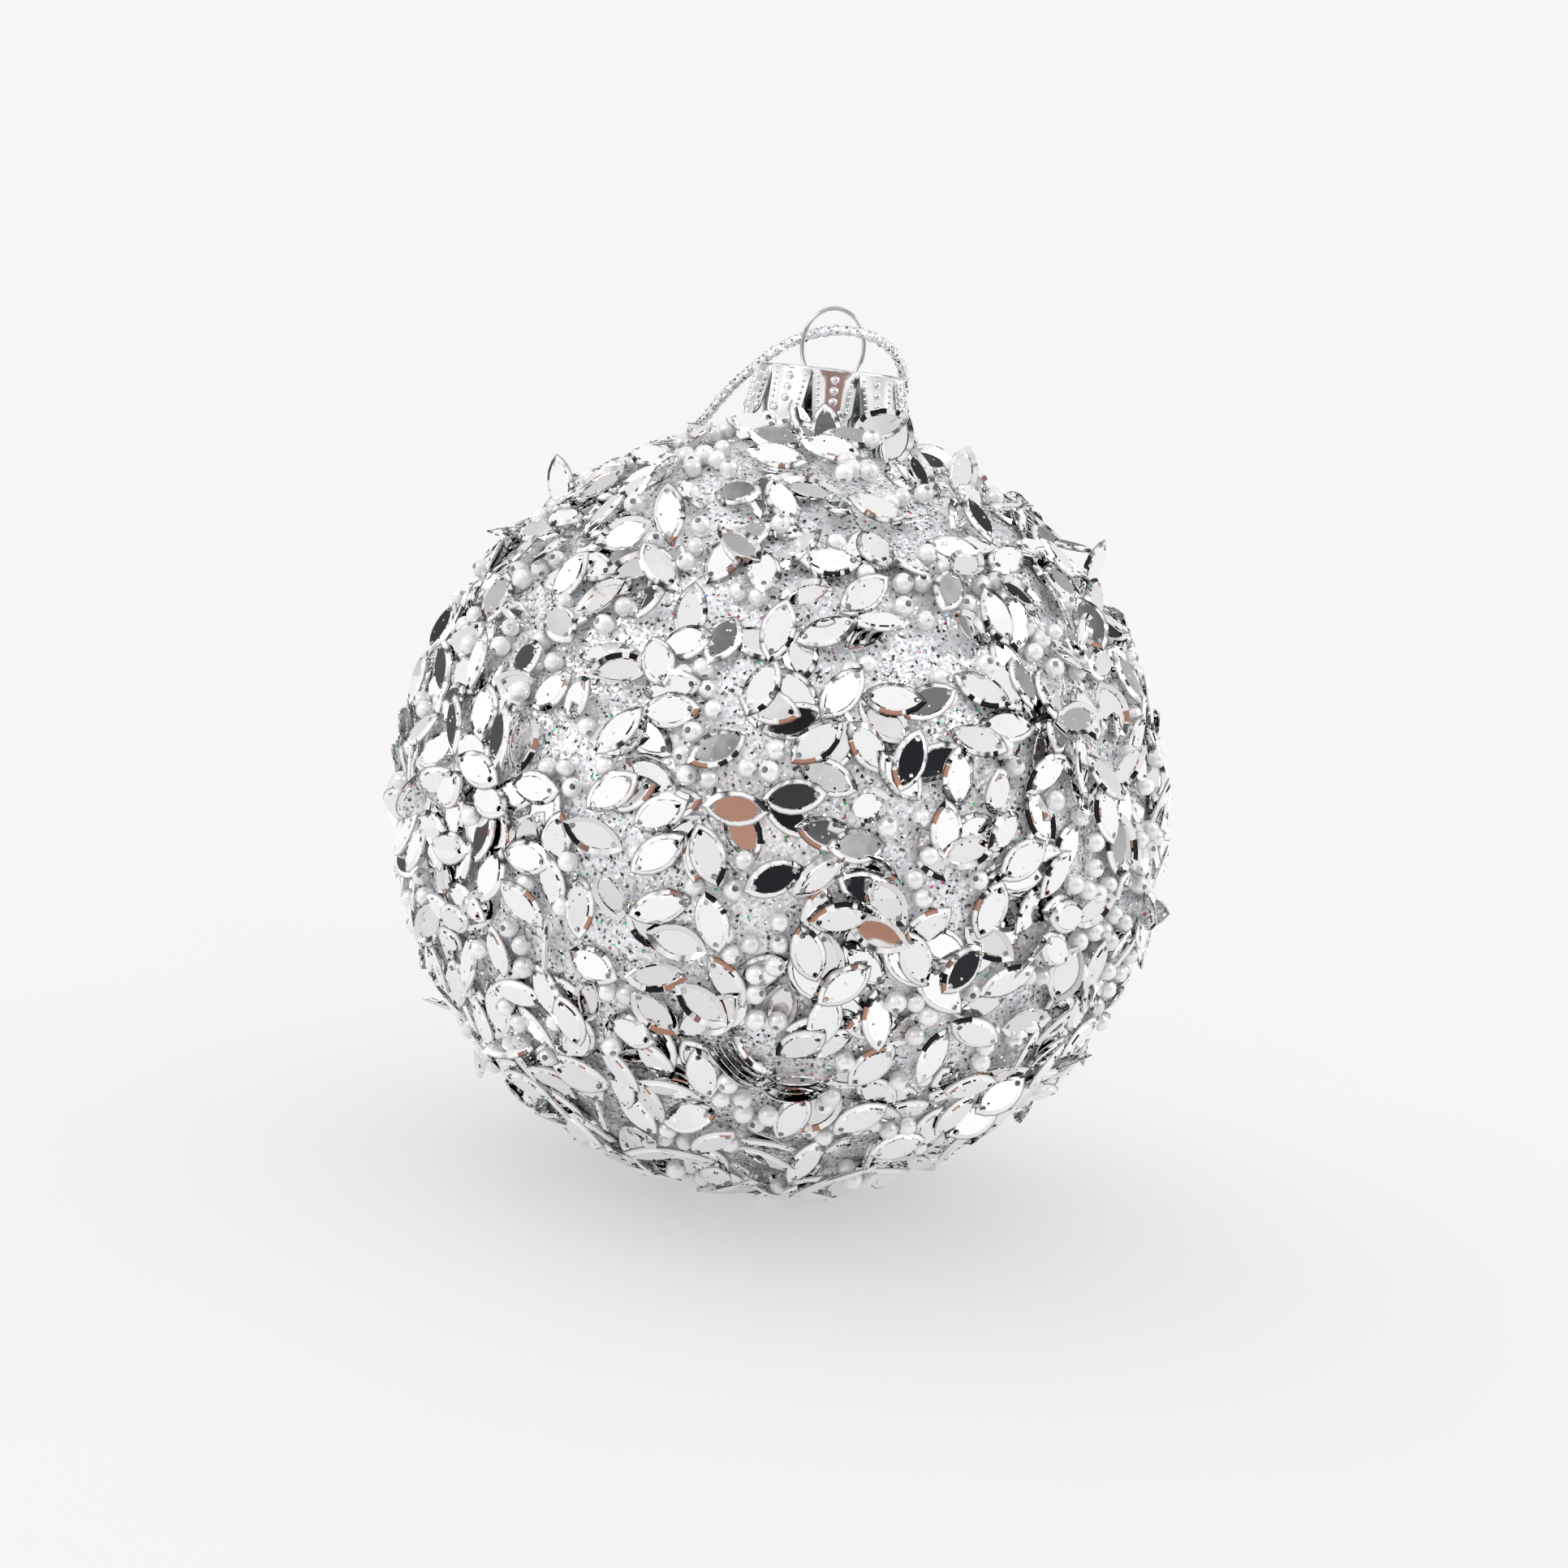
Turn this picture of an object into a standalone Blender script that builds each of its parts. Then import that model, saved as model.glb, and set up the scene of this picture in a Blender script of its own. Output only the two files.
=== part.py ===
"""Glass ball ornament, dressed with silver sequins and pearls.

A blown glass ball with an open neck carries a coat of glue and glitter.
Boat-shaped two-hole sequins and drilled pearls are glued to the coat.
A ten-tab crown cap covers the neck, a springy wire ring passes through two
holes in the cap, and a metallic cord is threaded through the ring and knotted.

Metres, +Z up along the neck.  The origin is the point that the ball stands
on, in the middle of a ring of flat sequins under its south pole.
"""

from math import acos, asin, cos, pi, radians, sin, sqrt, tan
import random

import bmesh
import bpy
from mathutils import Matrix, Vector

# ---------------------------------------------------------------- ball
BALL_RADIUS = 0.0500
BALL_CENTRE_Z = 0.0530
GLASS_WALL = 0.0010
NECK_RADIUS = 0.0087
NECK_TOP = 0.0600                 # above the ball's centre
NECK_FILLET = 0.0016
COAT_RADIUS = 0.0513
COAT_THICKNESS = 0.0010
COAT_OPENING_DEG = 13.5
BALL_SEGMENTS = 32
BALL_ARC_STEPS = 14
GAP = 0.0003                      # between pieces that touch

# ---------------------------------------------------------------- crown cap
CAP_TOP = 0.0608                  # above the ball's centre
CAP_TABS = 10
CAP_RADIUS = 0.0102               # to a corner of the top
CAP_SHEET = 0.0005
CAP_BAND = 0.0008
CAP_TURN_DEG = 4.4                # turns the front tab towards +X
TAB_FLARE_DEG = 12.0
TAB_STATIONS = [                  # depth below the top, width over the full side
    (0.0062, 0.80),
    (0.0068, 0.52),
    (0.0078, 0.30),
    (0.0085, 0.52),
]
WIRE_HOLE_RADIUS = 0.00075

# ---------------------------------------------------------------- hanger wire
WIRE_RADIUS = 0.0003
RING_HALF_WIDTH = 0.0042
RING_TOP = 0.0082                 # above the cap's top, to the wire's middle
LEG_X = 0.0034
LEG_STRAIGHT = 0.0050
LEG_TIP_X = 0.0064
LEG_DEPTH = 0.0160
RING_STEPS = 26
LEG_STEPS = 8

# ---------------------------------------------------------------- cord
CORD_RADIUS = 0.00075
CORD_STEP = 0.0036
CORD_ROUTE = [                    # from the ball's centre, knot to ring to knot
    (0.0034, 0.0530, 0.0135),
    (0.0027, 0.0518, 0.0170),
    (0.0008, 0.0493, 0.0235),
    (-0.0048, 0.0442, 0.0317),
    (-0.0122, 0.0366, 0.0387),
    (-0.0178, 0.0263, 0.0444),
    (-0.0193, 0.0205, 0.0472),
    (-0.0184, 0.0152, 0.0502),
    (-0.0160, 0.0114, 0.0536),
    (-0.0134, 0.0088, 0.0571),
    (-0.0108, 0.0066, 0.0599),
    (-0.0083, 0.0048, 0.0622),
    (-0.0058, 0.0032, 0.0639),
    (-0.0029, 0.0015, 0.0653),
    (0.0002, 0.0000, 0.0661),
    (0.0040, -0.0014, 0.0660),
    (0.0078, 0.0006, 0.0645),
    (0.0100, 0.0044, 0.0615),
    (0.0106, 0.0080, 0.0574),
    (0.0120, 0.0120, 0.0535),
    (0.0138, 0.0165, 0.0503),
    (0.0150, 0.0250, 0.0462),
    (0.0138, 0.0347, 0.0398),
    (0.0112, 0.0428, 0.0320),
    (0.0077, 0.0486, 0.0236),
    (0.0060, 0.0516, 0.0170),
    (0.0058, 0.0529, 0.0135),
]
KNOT_CENTRE = (0.0046, 0.0541, 0.0110)
KNOT_SIZE = (0.0044, 0.0034, 0.0042)

# ---------------------------------------------------------------- sequins
SEQUIN_LENGTH = 0.0081
SEQUIN_WIDTH = 0.0044
TABLE_LENGTH = 0.0062
TABLE_WIDTH = 0.0029
SEQUIN_CUP = 0.0005
SEQUIN_SHEET = 0.00025
SEQUIN_HOLE_RADIUS = 0.0004
SEQUIN_HOLE_X = 0.00265
OUTLINE_STEPS = 6                 # on each side, tip to tip
FOOT_COUNT = 5
FOOT_RING_RADIUS = 0.0086
SIDE_SEQUINS = 22
SIDE_TILT_DEG = 20.0
SEQUIN_SPACING = 0.0110
CORD_CLEARANCE = 0.0065
POLE_CLEARANCE_DEG = 24.0

# ---------------------------------------------------------------- pearls
PEARL_RADIUS = 0.00127
PEARL_BORE_RADIUS = 0.00042
PEARL_SEGMENTS = 10
PEARL_ARC_STEPS = 5
PEARLS = 12
PEARL_SPACING = 0.0064

SEED = 7
COLLECTION_NAME = "glass_ball_ornament"
CUTTER_COLLECTION_NAME = "cutters"


# ================================================================ scene
def clear_scene():
    """Remove every object, and the collections of an earlier run."""
    for item in list(bpy.data.objects):
        bpy.data.objects.remove(item, do_unlink=True)
    for name in (COLLECTION_NAME, CUTTER_COLLECTION_NAME):
        old = bpy.data.collections.get(name)
        if old:
            bpy.data.collections.remove(old)


def new_collection(name):
    collection = bpy.data.collections.new(name)
    bpy.context.scene.collection.children.link(collection)
    return collection


def finish_material(name, colour, roughness, metallic):
    material = bpy.data.materials.new(name)
    material.use_nodes = True
    shader = material.node_tree.nodes["Principled BSDF"]
    shader.inputs["Base Color"].default_value = (*colour, 1.0)
    shader.inputs["Roughness"].default_value = roughness
    shader.inputs["Metallic"].default_value = metallic
    return material


def mesh_from(bm, name):
    bmesh.ops.recalc_face_normals(bm, faces=bm.faces)
    mesh = bpy.data.meshes.new(name)
    bm.to_mesh(mesh)
    bm.free()
    return mesh


def add_object(name, data, collection, material):
    item = bpy.data.objects.new(name, data)
    data.materials.clear()
    data.materials.append(material)
    collection.objects.link(item)
    return item


def smooth(mesh, angle_deg=40.0):
    mesh.shade_smooth()
    mesh.set_sharp_from_angle(angle=radians(angle_deg))


def profile_object(name, points, collection, material):
    """An open outline in the XZ plane, ready for a Screw modifier."""
    bm = bmesh.new()
    verts = [bm.verts.new((x, 0.0, z)) for x, z in points]
    for first, second in zip(verts, verts[1:]):
        bm.edges.new((first, second))
    mesh = bpy.data.meshes.new(name)
    bm.to_mesh(mesh)
    bm.free()
    return add_object(name, mesh, collection, material)


def add_screw(item, steps):
    screw = item.modifiers.new("turn", "SCREW")
    screw.axis = "Z"
    screw.angle = 2.0 * pi
    screw.steps = steps
    screw.render_steps = steps
    screw.use_merge_vertices = True
    screw.merge_threshold = 0.00001
    screw.use_smooth_shade = True
    return screw


def add_wall(item, thickness):
    """Give an outward-facing open surface its wall, on the inner side."""
    wall = item.modifiers.new("wall", "SOLIDIFY")
    wall.thickness = thickness
    wall.offset = -1.0
    wall.use_even_offset = True
    return wall


# ================================================================ ball
def sphere_arc(radius, start_deg, steps):
    """Outline points from start_deg below the north pole to the south pole."""
    points = []
    for step in range(steps + 1):
        angle = radians(start_deg + (180.0 - start_deg) * step / steps)
        points.append((radius * sin(angle), radius * cos(angle)))
    points[-1] = (0.0, -radius)
    return points


def glass_ball(collection, material):
    """The blown ball: a thin sphere with an open neck."""
    shoulder_x = NECK_RADIUS + NECK_FILLET
    shoulder_deg = asin(shoulder_x / BALL_RADIUS) * 180.0 / pi
    ball = sphere_arc(BALL_RADIUS, shoulder_deg, BALL_ARC_STEPS)
    neck_foot = ball[0][1] + NECK_FILLET
    neck = [
        (NECK_RADIUS, NECK_TOP),
        (NECK_RADIUS, neck_foot),
        (NECK_RADIUS + 0.3 * NECK_FILLET, neck_foot - 0.7 * NECK_FILLET),
    ]
    item = profile_object("glass_ball", neck + ball, collection, material)
    item.location.z = BALL_CENTRE_Z
    add_screw(item, BALL_SEGMENTS)
    add_wall(item, GLASS_WALL)
    return item


def glitter_coat(collection, material):
    """The layer of glue and glitter, open round the neck."""
    points = sphere_arc(COAT_RADIUS, COAT_OPENING_DEG, BALL_ARC_STEPS)
    item = profile_object("glitter_coat", points, collection, material)
    item.location.z = BALL_CENTRE_Z
    add_screw(item, BALL_SEGMENTS)
    add_wall(item, COAT_THICKNESS)
    return item


# ================================================================ cap
def wire_hole_cutters(collection):
    cutters = []
    for side in (-1.0, 1.0):
        bm = bmesh.new()
        bmesh.ops.create_cone(
            bm, cap_ends=True, segments=10, radius1=WIRE_HOLE_RADIUS,
            radius2=WIRE_HOLE_RADIUS, depth=6.0 * CAP_SHEET,
            matrix=Matrix.Translation((side * LEG_X, 0.0, BALL_CENTRE_Z + CAP_TOP)),
        )
        cutter = bpy.data.objects.new("wire_hole_cutter", mesh_from(bm, "wire_hole_cutter"))
        cutter.display_type = "WIRE"
        cutter.hide_render = True
        collection.objects.link(cutter)
        cutters.append(cutter)
    return cutters


def crown_cap(collection, material, cutter_collection):
    """A stamped cup: a ten-sided top whose sides are separate flared tabs."""
    flare = tan(radians(TAB_FLARE_DEG))
    bm = bmesh.new()
    bmesh.ops.create_circle(bm, cap_ends=True, segments=CAP_TABS, radius=CAP_RADIUS)
    top_edges = list(bm.edges)
    band = bmesh.ops.extrude_edge_only(bm, edges=top_edges)["geom"]
    band_scale = 1.0 + flare * CAP_BAND / CAP_RADIUS
    for vert in (g for g in band if isinstance(g, bmesh.types.BMVert)):
        vert.co.x *= band_scale
        vert.co.y *= band_scale
        vert.co.z = -CAP_BAND
    rim_edges = [g for g in band if isinstance(g, bmesh.types.BMEdge) and g.is_boundary]
    side_length = 2.0 * CAP_RADIUS * sin(pi / CAP_TABS)
    for edge in rim_edges:
        middle = (edge.verts[0].co + edge.verts[1].co) / 2.0
        out = Vector((middle.x, middle.y, 0.0)).normalized()
        along = (edge.verts[1].co - edge.verts[0].co).normalized()
        lower = edge
        for depth, width in TAB_STATIONS:
            geom = bmesh.ops.extrude_edge_only(bm, edges=[lower])["geom"]
            lower = next(
                g for g in geom if isinstance(g, bmesh.types.BMEdge) and g.is_boundary
                and abs((g.verts[1].co - g.verts[0].co).normalized().dot(along)) > 0.99
            )
            foot = middle + out * flare * (depth - CAP_BAND)
            foot.z = -depth
            half = along * side_length * width / 2.0
            start, end = lower.verts
            if (end.co - start.co).dot(along) < 0.0:
                start, end = end, start
            start.co = foot - half
            end.co = foot + half
    turn = Matrix.Rotation(radians(CAP_TURN_DEG), 4, "Z")
    bmesh.ops.transform(bm, matrix=turn, verts=bm.verts)
    item = add_object("crown_cap", mesh_from(bm, "crown_cap"), collection, material)
    item.location.z = BALL_CENTRE_Z + CAP_TOP
    add_wall(item, CAP_SHEET)
    for cutter in wire_hole_cutters(cutter_collection):
        hole = item.modifiers.new("wire_hole", "BOOLEAN")
        hole.operation = "DIFFERENCE"
        hole.solver = "EXACT"
        hole.object = cutter
    return item


# ================================================================ wire and cord
def tube(name, points, radius, collection, material):
    """A round rod along a list of points, closed at both ends."""
    curve = bpy.data.curves.new(name, "CURVE")
    curve.dimensions = "3D"
    curve.bevel_depth = radius
    curve.bevel_resolution = 2
    curve.use_fill_caps = True
    spline = curve.splines.new("POLY")
    spline.points.add(len(points) - 1)
    for spot, place in zip(spline.points, points):
        spot.co = (*place, 1.0)
    return add_object(name, curve, collection, material)


def hanger_points():
    """One leg up into the oval ring and down the other leg, above the cap's top."""
    # The ring is an ellipse through its top and the two holes in the cap.
    entry = asin(-sqrt(1.0 - (LEG_X / RING_HALF_WIDTH) ** 2))
    ring_half_height = RING_TOP / (1.0 - sin(entry))
    ring_middle = RING_TOP - ring_half_height
    leg = []
    for step in range(LEG_STEPS + 1):
        part = step / LEG_STEPS
        depth = LEG_STRAIGHT + (LEG_DEPTH - LEG_STRAIGHT) * part
        ease = 0.5 - 0.5 * cos(pi * part)
        leg.append((LEG_X + (LEG_TIP_X - LEG_X) * ease, -depth))
    points = [Vector((x, 0.0, z)) for x, z in reversed(leg)]
    points.append(Vector((LEG_X, 0.0, -CAP_SHEET)))
    for step in range(RING_STEPS + 1):
        angle = entry + (pi - 2.0 * entry) * step / RING_STEPS
        points.append(Vector((
            RING_HALF_WIDTH * cos(angle), 0.0, ring_middle + ring_half_height * sin(angle))))
    points.append(Vector((-LEG_X, 0.0, -CAP_SHEET)))
    points += [Vector((-x, 0.0, z)) for x, z in leg]
    return points


def hanger_wire(collection, material):
    lift = Vector((0.0, 0.0, BALL_CENTRE_Z + CAP_TOP))
    points = [spot + lift for spot in hanger_points()]
    return tube("hanger_wire", points, WIRE_RADIUS, collection, material)


def smooth_path(route, step):
    """Points about one step apart on a Catmull-Rom curve through the route."""
    fine = []
    ends = [route[0] * 2.0 - route[1]] + route + [route[-1] * 2.0 - route[-2]]
    for a, b, c, d in zip(ends, ends[1:], ends[2:], ends[3:]):
        for part in (i / 12.0 for i in range(12)):
            fine.append(0.5 * (
                2.0 * b + (c - a) * part + (2.0 * a - 5.0 * b + 4.0 * c - d) * part ** 2
                + (3.0 * b - a - 3.0 * c + d) * part ** 3))
    fine.append(route[-1])
    total = sum((q - p).length for p, q in zip(fine, fine[1:]))
    count = max(2, round(total / step))
    points = [fine[0]]
    walked = 0.0
    for p, q in zip(fine, fine[1:]):
        span = (q - p).length
        while len(points) < count and walked + span >= total * len(points) / count:
            points.append(p.lerp(q, (total * len(points) / count - walked) / span))
        walked += span
    points.append(fine[-1])
    return points


def hanging_cord(collection, material):
    centre = Vector((0.0, 0.0, BALL_CENTRE_Z))
    route = [Vector(place) + centre for place in CORD_ROUTE]
    return tube(
        "hanging_cord", smooth_path(route, CORD_STEP), CORD_RADIUS, collection, material)


def cord_knot(collection, material):
    bm = bmesh.new()
    bmesh.ops.create_uvsphere(bm, u_segments=12, v_segments=8, radius=0.5)
    bmesh.ops.scale(bm, vec=KNOT_SIZE, verts=bm.verts)
    item = add_object("cord_knot", mesh_from(bm, "cord_knot"), collection, material)
    item.location = Vector(KNOT_CENTRE) + Vector((0.0, 0.0, BALL_CENTRE_Z))
    return item


# ================================================================ sequins
def marquise(length, width, steps):
    """A boat outline: two arcs that meet in a point at each end."""
    bow = (length ** 2 + width ** 2) / (4.0 * width)
    sweep = asin(length / (2.0 * bow))
    points = []
    for side in (1.0, -1.0):
        for step in range(steps):
            angle = sweep * (1.0 - 2.0 * step / steps)
            points.append((
                side * bow * sin(angle), side * (bow * cos(angle) - bow + width / 2.0)))
    return points


def sequin_mesh(collection, material, cutter_collection):
    """One cupped sequin: a flat table, a sloping rim and two thread holes."""
    bm = bmesh.new()
    rings = []
    for length, width, height in (
        (SEQUIN_LENGTH, SEQUIN_WIDTH, 0.0),
        (TABLE_LENGTH, TABLE_WIDTH, SEQUIN_CUP),
    ):
        ring = [bm.verts.new((x, y, height)) for x, y in marquise(length, width, OUTLINE_STEPS)]
        edges = [bm.edges.new(pair) for pair in zip(ring, ring[1:] + ring[:1])]
        rings.append(edges)
    bmesh.ops.bridge_loops(bm, edges=rings[0] + rings[1])
    bmesh.ops.contextual_create(bm, geom=rings[1])
    mesh = mesh_from(bm, "sequin_blank")
    if sum(face.normal.z for face in mesh.polygons) < 0.0:
        mesh.flip_normals()
    blank = add_object("sequin_blank", mesh, collection, material)
    add_wall(blank, SEQUIN_SHEET)
    for side in (-1.0, 1.0):
        bm = bmesh.new()
        bmesh.ops.create_cone(
            bm, cap_ends=True, segments=8, radius1=SEQUIN_HOLE_RADIUS,
            radius2=SEQUIN_HOLE_RADIUS, depth=8.0 * SEQUIN_CUP,
            matrix=Matrix.Translation((side * SEQUIN_HOLE_X, 0.0, 0.0)),
        )
        cutter = bpy.data.objects.new("thread_hole_cutter", mesh_from(bm, "thread_hole_cutter"))
        cutter.display_type = "WIRE"
        cutter.hide_render = True
        cutter_collection.objects.link(cutter)
        hole = blank.modifiers.new("thread_hole", "BOOLEAN")
        hole.operation = "DIFFERENCE"
        hole.solver = "EXACT"
        hole.object = cutter
    view = bpy.context.evaluated_depsgraph_get()
    punched = bpy.data.meshes.new_from_object(blank.evaluated_get(view))
    punched.name = "sequin"
    punched.transform(Matrix.Translation((0.0, 0.0, SEQUIN_SHEET)))
    bpy.data.objects.remove(blank, do_unlink=True)
    return punched


def facing(direction, spin, tilt, distance):
    """Turn local +Z to a direction, spin about it, tip the long side and move out."""
    normal = direction.normalized()
    upright = normal.to_track_quat("Z", "Y").to_matrix().to_4x4()
    turned = upright @ Matrix.Rotation(spin, 4, "Z") @ Matrix.Rotation(tilt, 4, "Y")
    centre = Vector((0.0, 0.0, BALL_CENTRE_Z)) + normal * distance
    return Matrix.Translation(centre) @ turned


def spiral_directions(count, offset):
    """Even directions over a sphere, from north to south."""
    golden = pi * (3.0 - sqrt(5.0))
    for index in range(count):
        height = 1.0 - 2.0 * (index + 0.5) / count
        level = sqrt(1.0 - height ** 2)
        angle = golden * index + offset
        yield Vector((level * cos(angle), level * sin(angle), height))


def foot_sequins(mesh, collection):
    """The flat sequins that the ball stands on: one at the pole and a ring round it."""
    total_height = SEQUIN_CUP + SEQUIN_SHEET
    face_down = Matrix.Rotation(pi, 4, "X")
    places = [Matrix.Translation((0.0, 0.0, total_height)) @ face_down]
    for index in range(FOOT_COUNT):
        angle = 2.0 * pi * index / FOOT_COUNT
        ring = Matrix.Rotation(angle, 4, "Z")
        ring = ring @ Matrix.Translation((FOOT_RING_RADIUS, 0.0, total_height))
        places.append(ring @ Matrix.Rotation(pi / 2.0, 4, "Z") @ face_down)
    feet = []
    for index, place in enumerate(places):
        item = bpy.data.objects.new(f"foot_sequin_{index + 1:02d}", mesh)
        item.matrix_world = place
        collection.objects.link(item)
        feet.append(item)
    return feet


def clear_of_cord(spot, clearance):
    for place in CORD_ROUTE:
        if (Vector(place) - spot).length < clearance:
            return False
    return True


def side_sequins(mesh, collection, dice):
    """Sequins over the rest of the ball.

    Four raised ones on the equator, at the compass points, set the overall
    diameter.  The others follow a spiral, and every third one is raised too.
    """
    sequins = []
    base = COAT_RADIUS + GAP
    compass = [Vector((cos(turn), sin(turn), 0.0)) for turn in (0.0, pi / 2, pi, 3 * pi / 2)]
    spiral = []
    for direction in spiral_directions(SIDE_SEQUINS, 0.6):
        polar_deg = acos(direction.z) * 180.0 / pi
        near_pole = min(polar_deg, 180.0 - polar_deg) < POLE_CLEARANCE_DEG
        crowded = any((direction - other).length * base < SEQUIN_SPACING for other in compass)
        if not near_pole and not crowded and clear_of_cord(direction * base, CORD_CLEARANCE):
            spiral.append(direction)
    for index, direction in enumerate(compass + spiral):
        raised = index < len(compass) or index % 3 == 0
        tilt = radians(SIDE_TILT_DEG if raised else dice.uniform(2.0, 7.0))
        lift = SEQUIN_LENGTH / 2.0 * sin(tilt) + GAP / 2.0
        place = facing(direction, dice.uniform(0.0, 2.0 * pi), tilt, base + lift)
        item = bpy.data.objects.new(f"sequin_{index + 1:02d}", mesh)
        item.matrix_world = place
        collection.objects.link(item)
        sequins.append(item)
    return sequins


# ================================================================ pearls
def pearl_mesh():
    """A drilled bead, turned from an arc that is closed by its bore."""
    bm = bmesh.new()
    start = asin(PEARL_BORE_RADIUS / PEARL_RADIUS)
    verts = []
    for step in range(PEARL_ARC_STEPS + 1):
        angle = start + (pi - 2.0 * start) * step / PEARL_ARC_STEPS
        verts.append(bm.verts.new((PEARL_RADIUS * sin(angle), 0.0, PEARL_RADIUS * cos(angle))))
    edges = [bm.edges.new(pair) for pair in zip(verts, verts[1:] + verts[:1])]
    bmesh.ops.spin(
        bm, geom=verts + edges, cent=(0, 0, 0), axis=(0, 0, 1), angle=2.0 * pi,
        steps=PEARL_SEGMENTS, use_merge=True,
    )
    bmesh.ops.remove_doubles(bm, verts=bm.verts, dist=0.00001)
    mesh = mesh_from(bm, "pearl")
    smooth(mesh, 50.0)
    return mesh


def pearls(mesh, collection, sequins, dice):
    """Pearls in the free places between the sequins."""
    beads = []
    distance = COAT_RADIUS + GAP + PEARL_RADIUS
    centre = Vector((0.0, 0.0, BALL_CENTRE_Z))
    taken = [item.matrix_world.translation - centre for item in sequins]
    for direction in spiral_directions(3 * PEARLS, 2.1):
        spot = direction * distance
        polar_deg = acos(direction.z) * 180.0 / pi
        near_pole = min(polar_deg, 180.0 - polar_deg) < POLE_CLEARANCE_DEG
        crowded = any((spot - other).length < PEARL_SPACING for other in taken)
        if near_pole or crowded or not clear_of_cord(spot, CORD_CLEARANCE):
            continue
        if len(beads) == PEARLS:
            break
        turn = facing(direction, dice.uniform(0.0, 2.0 * pi), dice.uniform(0.3, 1.4), distance)
        item = bpy.data.objects.new(f"pearl_{len(beads) + 1:02d}", mesh)
        item.matrix_world = turn
        collection.objects.link(item)
        beads.append(item)
        taken.append(spot)
    return beads


# ================================================================ build
def build():
    clear_scene()
    parts = new_collection(COLLECTION_NAME)
    cutters = new_collection(CUTTER_COLLECTION_NAME)
    dice = random.Random(SEED)

    clear_glass = finish_material("clear_glass", (0.80, 0.82, 0.84), 0.05, 0.0)
    silver_glitter = finish_material("silver_glitter", (0.72, 0.73, 0.75), 0.40, 0.6)
    cap_silver = finish_material("cap_silver", (0.86, 0.86, 0.87), 0.12, 1.0)
    steel_wire = finish_material("steel_wire", (0.66, 0.67, 0.69), 0.22, 1.0)
    metallic_cord = finish_material("metallic_cord", (0.78, 0.79, 0.81), 0.35, 0.7)
    mirror_film = finish_material("mirror_film", (0.92, 0.92, 0.92), 0.05, 1.0)
    pearl_white = finish_material("pearl_white", (0.90, 0.89, 0.87), 0.22, 0.0)

    glass_ball(parts, clear_glass)
    glitter_coat(parts, silver_glitter)
    crown_cap(parts, cap_silver, cutters)
    hanger_wire(parts, steel_wire)
    hanging_cord(parts, metallic_cord)
    cord_knot(parts, metallic_cord)

    sequin = sequin_mesh(parts, mirror_film, cutters)
    feet = foot_sequins(sequin, parts)
    sides = side_sequins(sequin, parts, dice)

    pearl = pearl_mesh()
    pearl.materials.append(pearl_white)
    pearls(pearl, parts, feet + sides, dice)
    print(f"{len(parts.objects)} pieces")


build()
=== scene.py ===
# %% [markdown]
# # A glass ball dressed in mirror sequins, pearls and glitter
#
# The real ornament is made like this. A glass ball is rolled in glue, then in
# glitter, then in a tray of loose boat-shaped sequins and drilled pearls. A
# stamped cap with ten tabs covers its neck, a springy wire ring goes through
# the cap, and a tinsel cord goes through the ring.
#
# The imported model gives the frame: where the ball, cap, wire and cord are, and
# which body each piece moves with. This lesson builds the fine surface on it.

# %% Load the frame
from itertools import combinations
from math import asin, atan2, cos, pi, radians, sin, sqrt, tan
import random

import bmesh
import bpy
import numpy as np
from mathutils import Matrix, Vector, noise
from mathutils.kdtree import KDTree

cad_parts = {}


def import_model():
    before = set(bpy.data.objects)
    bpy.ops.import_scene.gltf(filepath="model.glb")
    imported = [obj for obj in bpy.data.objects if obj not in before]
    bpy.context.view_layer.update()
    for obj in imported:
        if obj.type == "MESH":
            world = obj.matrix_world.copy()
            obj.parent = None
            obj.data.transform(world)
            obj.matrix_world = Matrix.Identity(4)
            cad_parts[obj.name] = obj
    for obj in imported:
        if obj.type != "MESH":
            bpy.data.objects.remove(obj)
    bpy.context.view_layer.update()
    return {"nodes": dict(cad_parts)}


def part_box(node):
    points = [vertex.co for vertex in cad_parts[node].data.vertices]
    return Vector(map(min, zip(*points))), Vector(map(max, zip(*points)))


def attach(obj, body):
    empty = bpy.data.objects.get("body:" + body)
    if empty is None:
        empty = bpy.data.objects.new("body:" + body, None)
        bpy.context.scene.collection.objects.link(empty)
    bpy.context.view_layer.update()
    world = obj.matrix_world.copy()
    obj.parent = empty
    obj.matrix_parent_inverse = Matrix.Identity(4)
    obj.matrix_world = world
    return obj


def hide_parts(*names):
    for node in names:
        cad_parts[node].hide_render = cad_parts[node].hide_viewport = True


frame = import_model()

MM = 0.001
print("nodes:", len(frame["nodes"]))

# %% [markdown]
# ## Where things are
#
# Every place is worked out from the frame. The coat's lowest point is one coat
# radius under the middle of the ball, the cap's box gives the level of its top,
# and the wire's box gives the height of the ring.

# %% Places from the frame
COAT_RADIUS = 51.3 * MM
coat_low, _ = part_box("glitter_coat")
cap_low, cap_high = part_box("crown_cap")
wire_low, wire_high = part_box("hanger_wire")

BALL_CENTRE = Vector((0.0, 0.0, coat_low.z + COAT_RADIUS))
CAP_TOP = cap_high.z
CAP_FOOT = cap_low.z
FLOOR = 0.0
print("ball centre", tuple(round(v, 4) for v in BALL_CENTRE), "cap top", round(CAP_TOP, 4))

# %% [markdown]
# ## The camera
#
# The camera stands a third of a metre away, a little above the ball's middle,
# and it is rolled, so that the ornament leans to the right as it does when it
# lies on a table. A short distance matters here: it is what makes the pearls in
# the middle of the ball larger than the ones at its edge.

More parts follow.
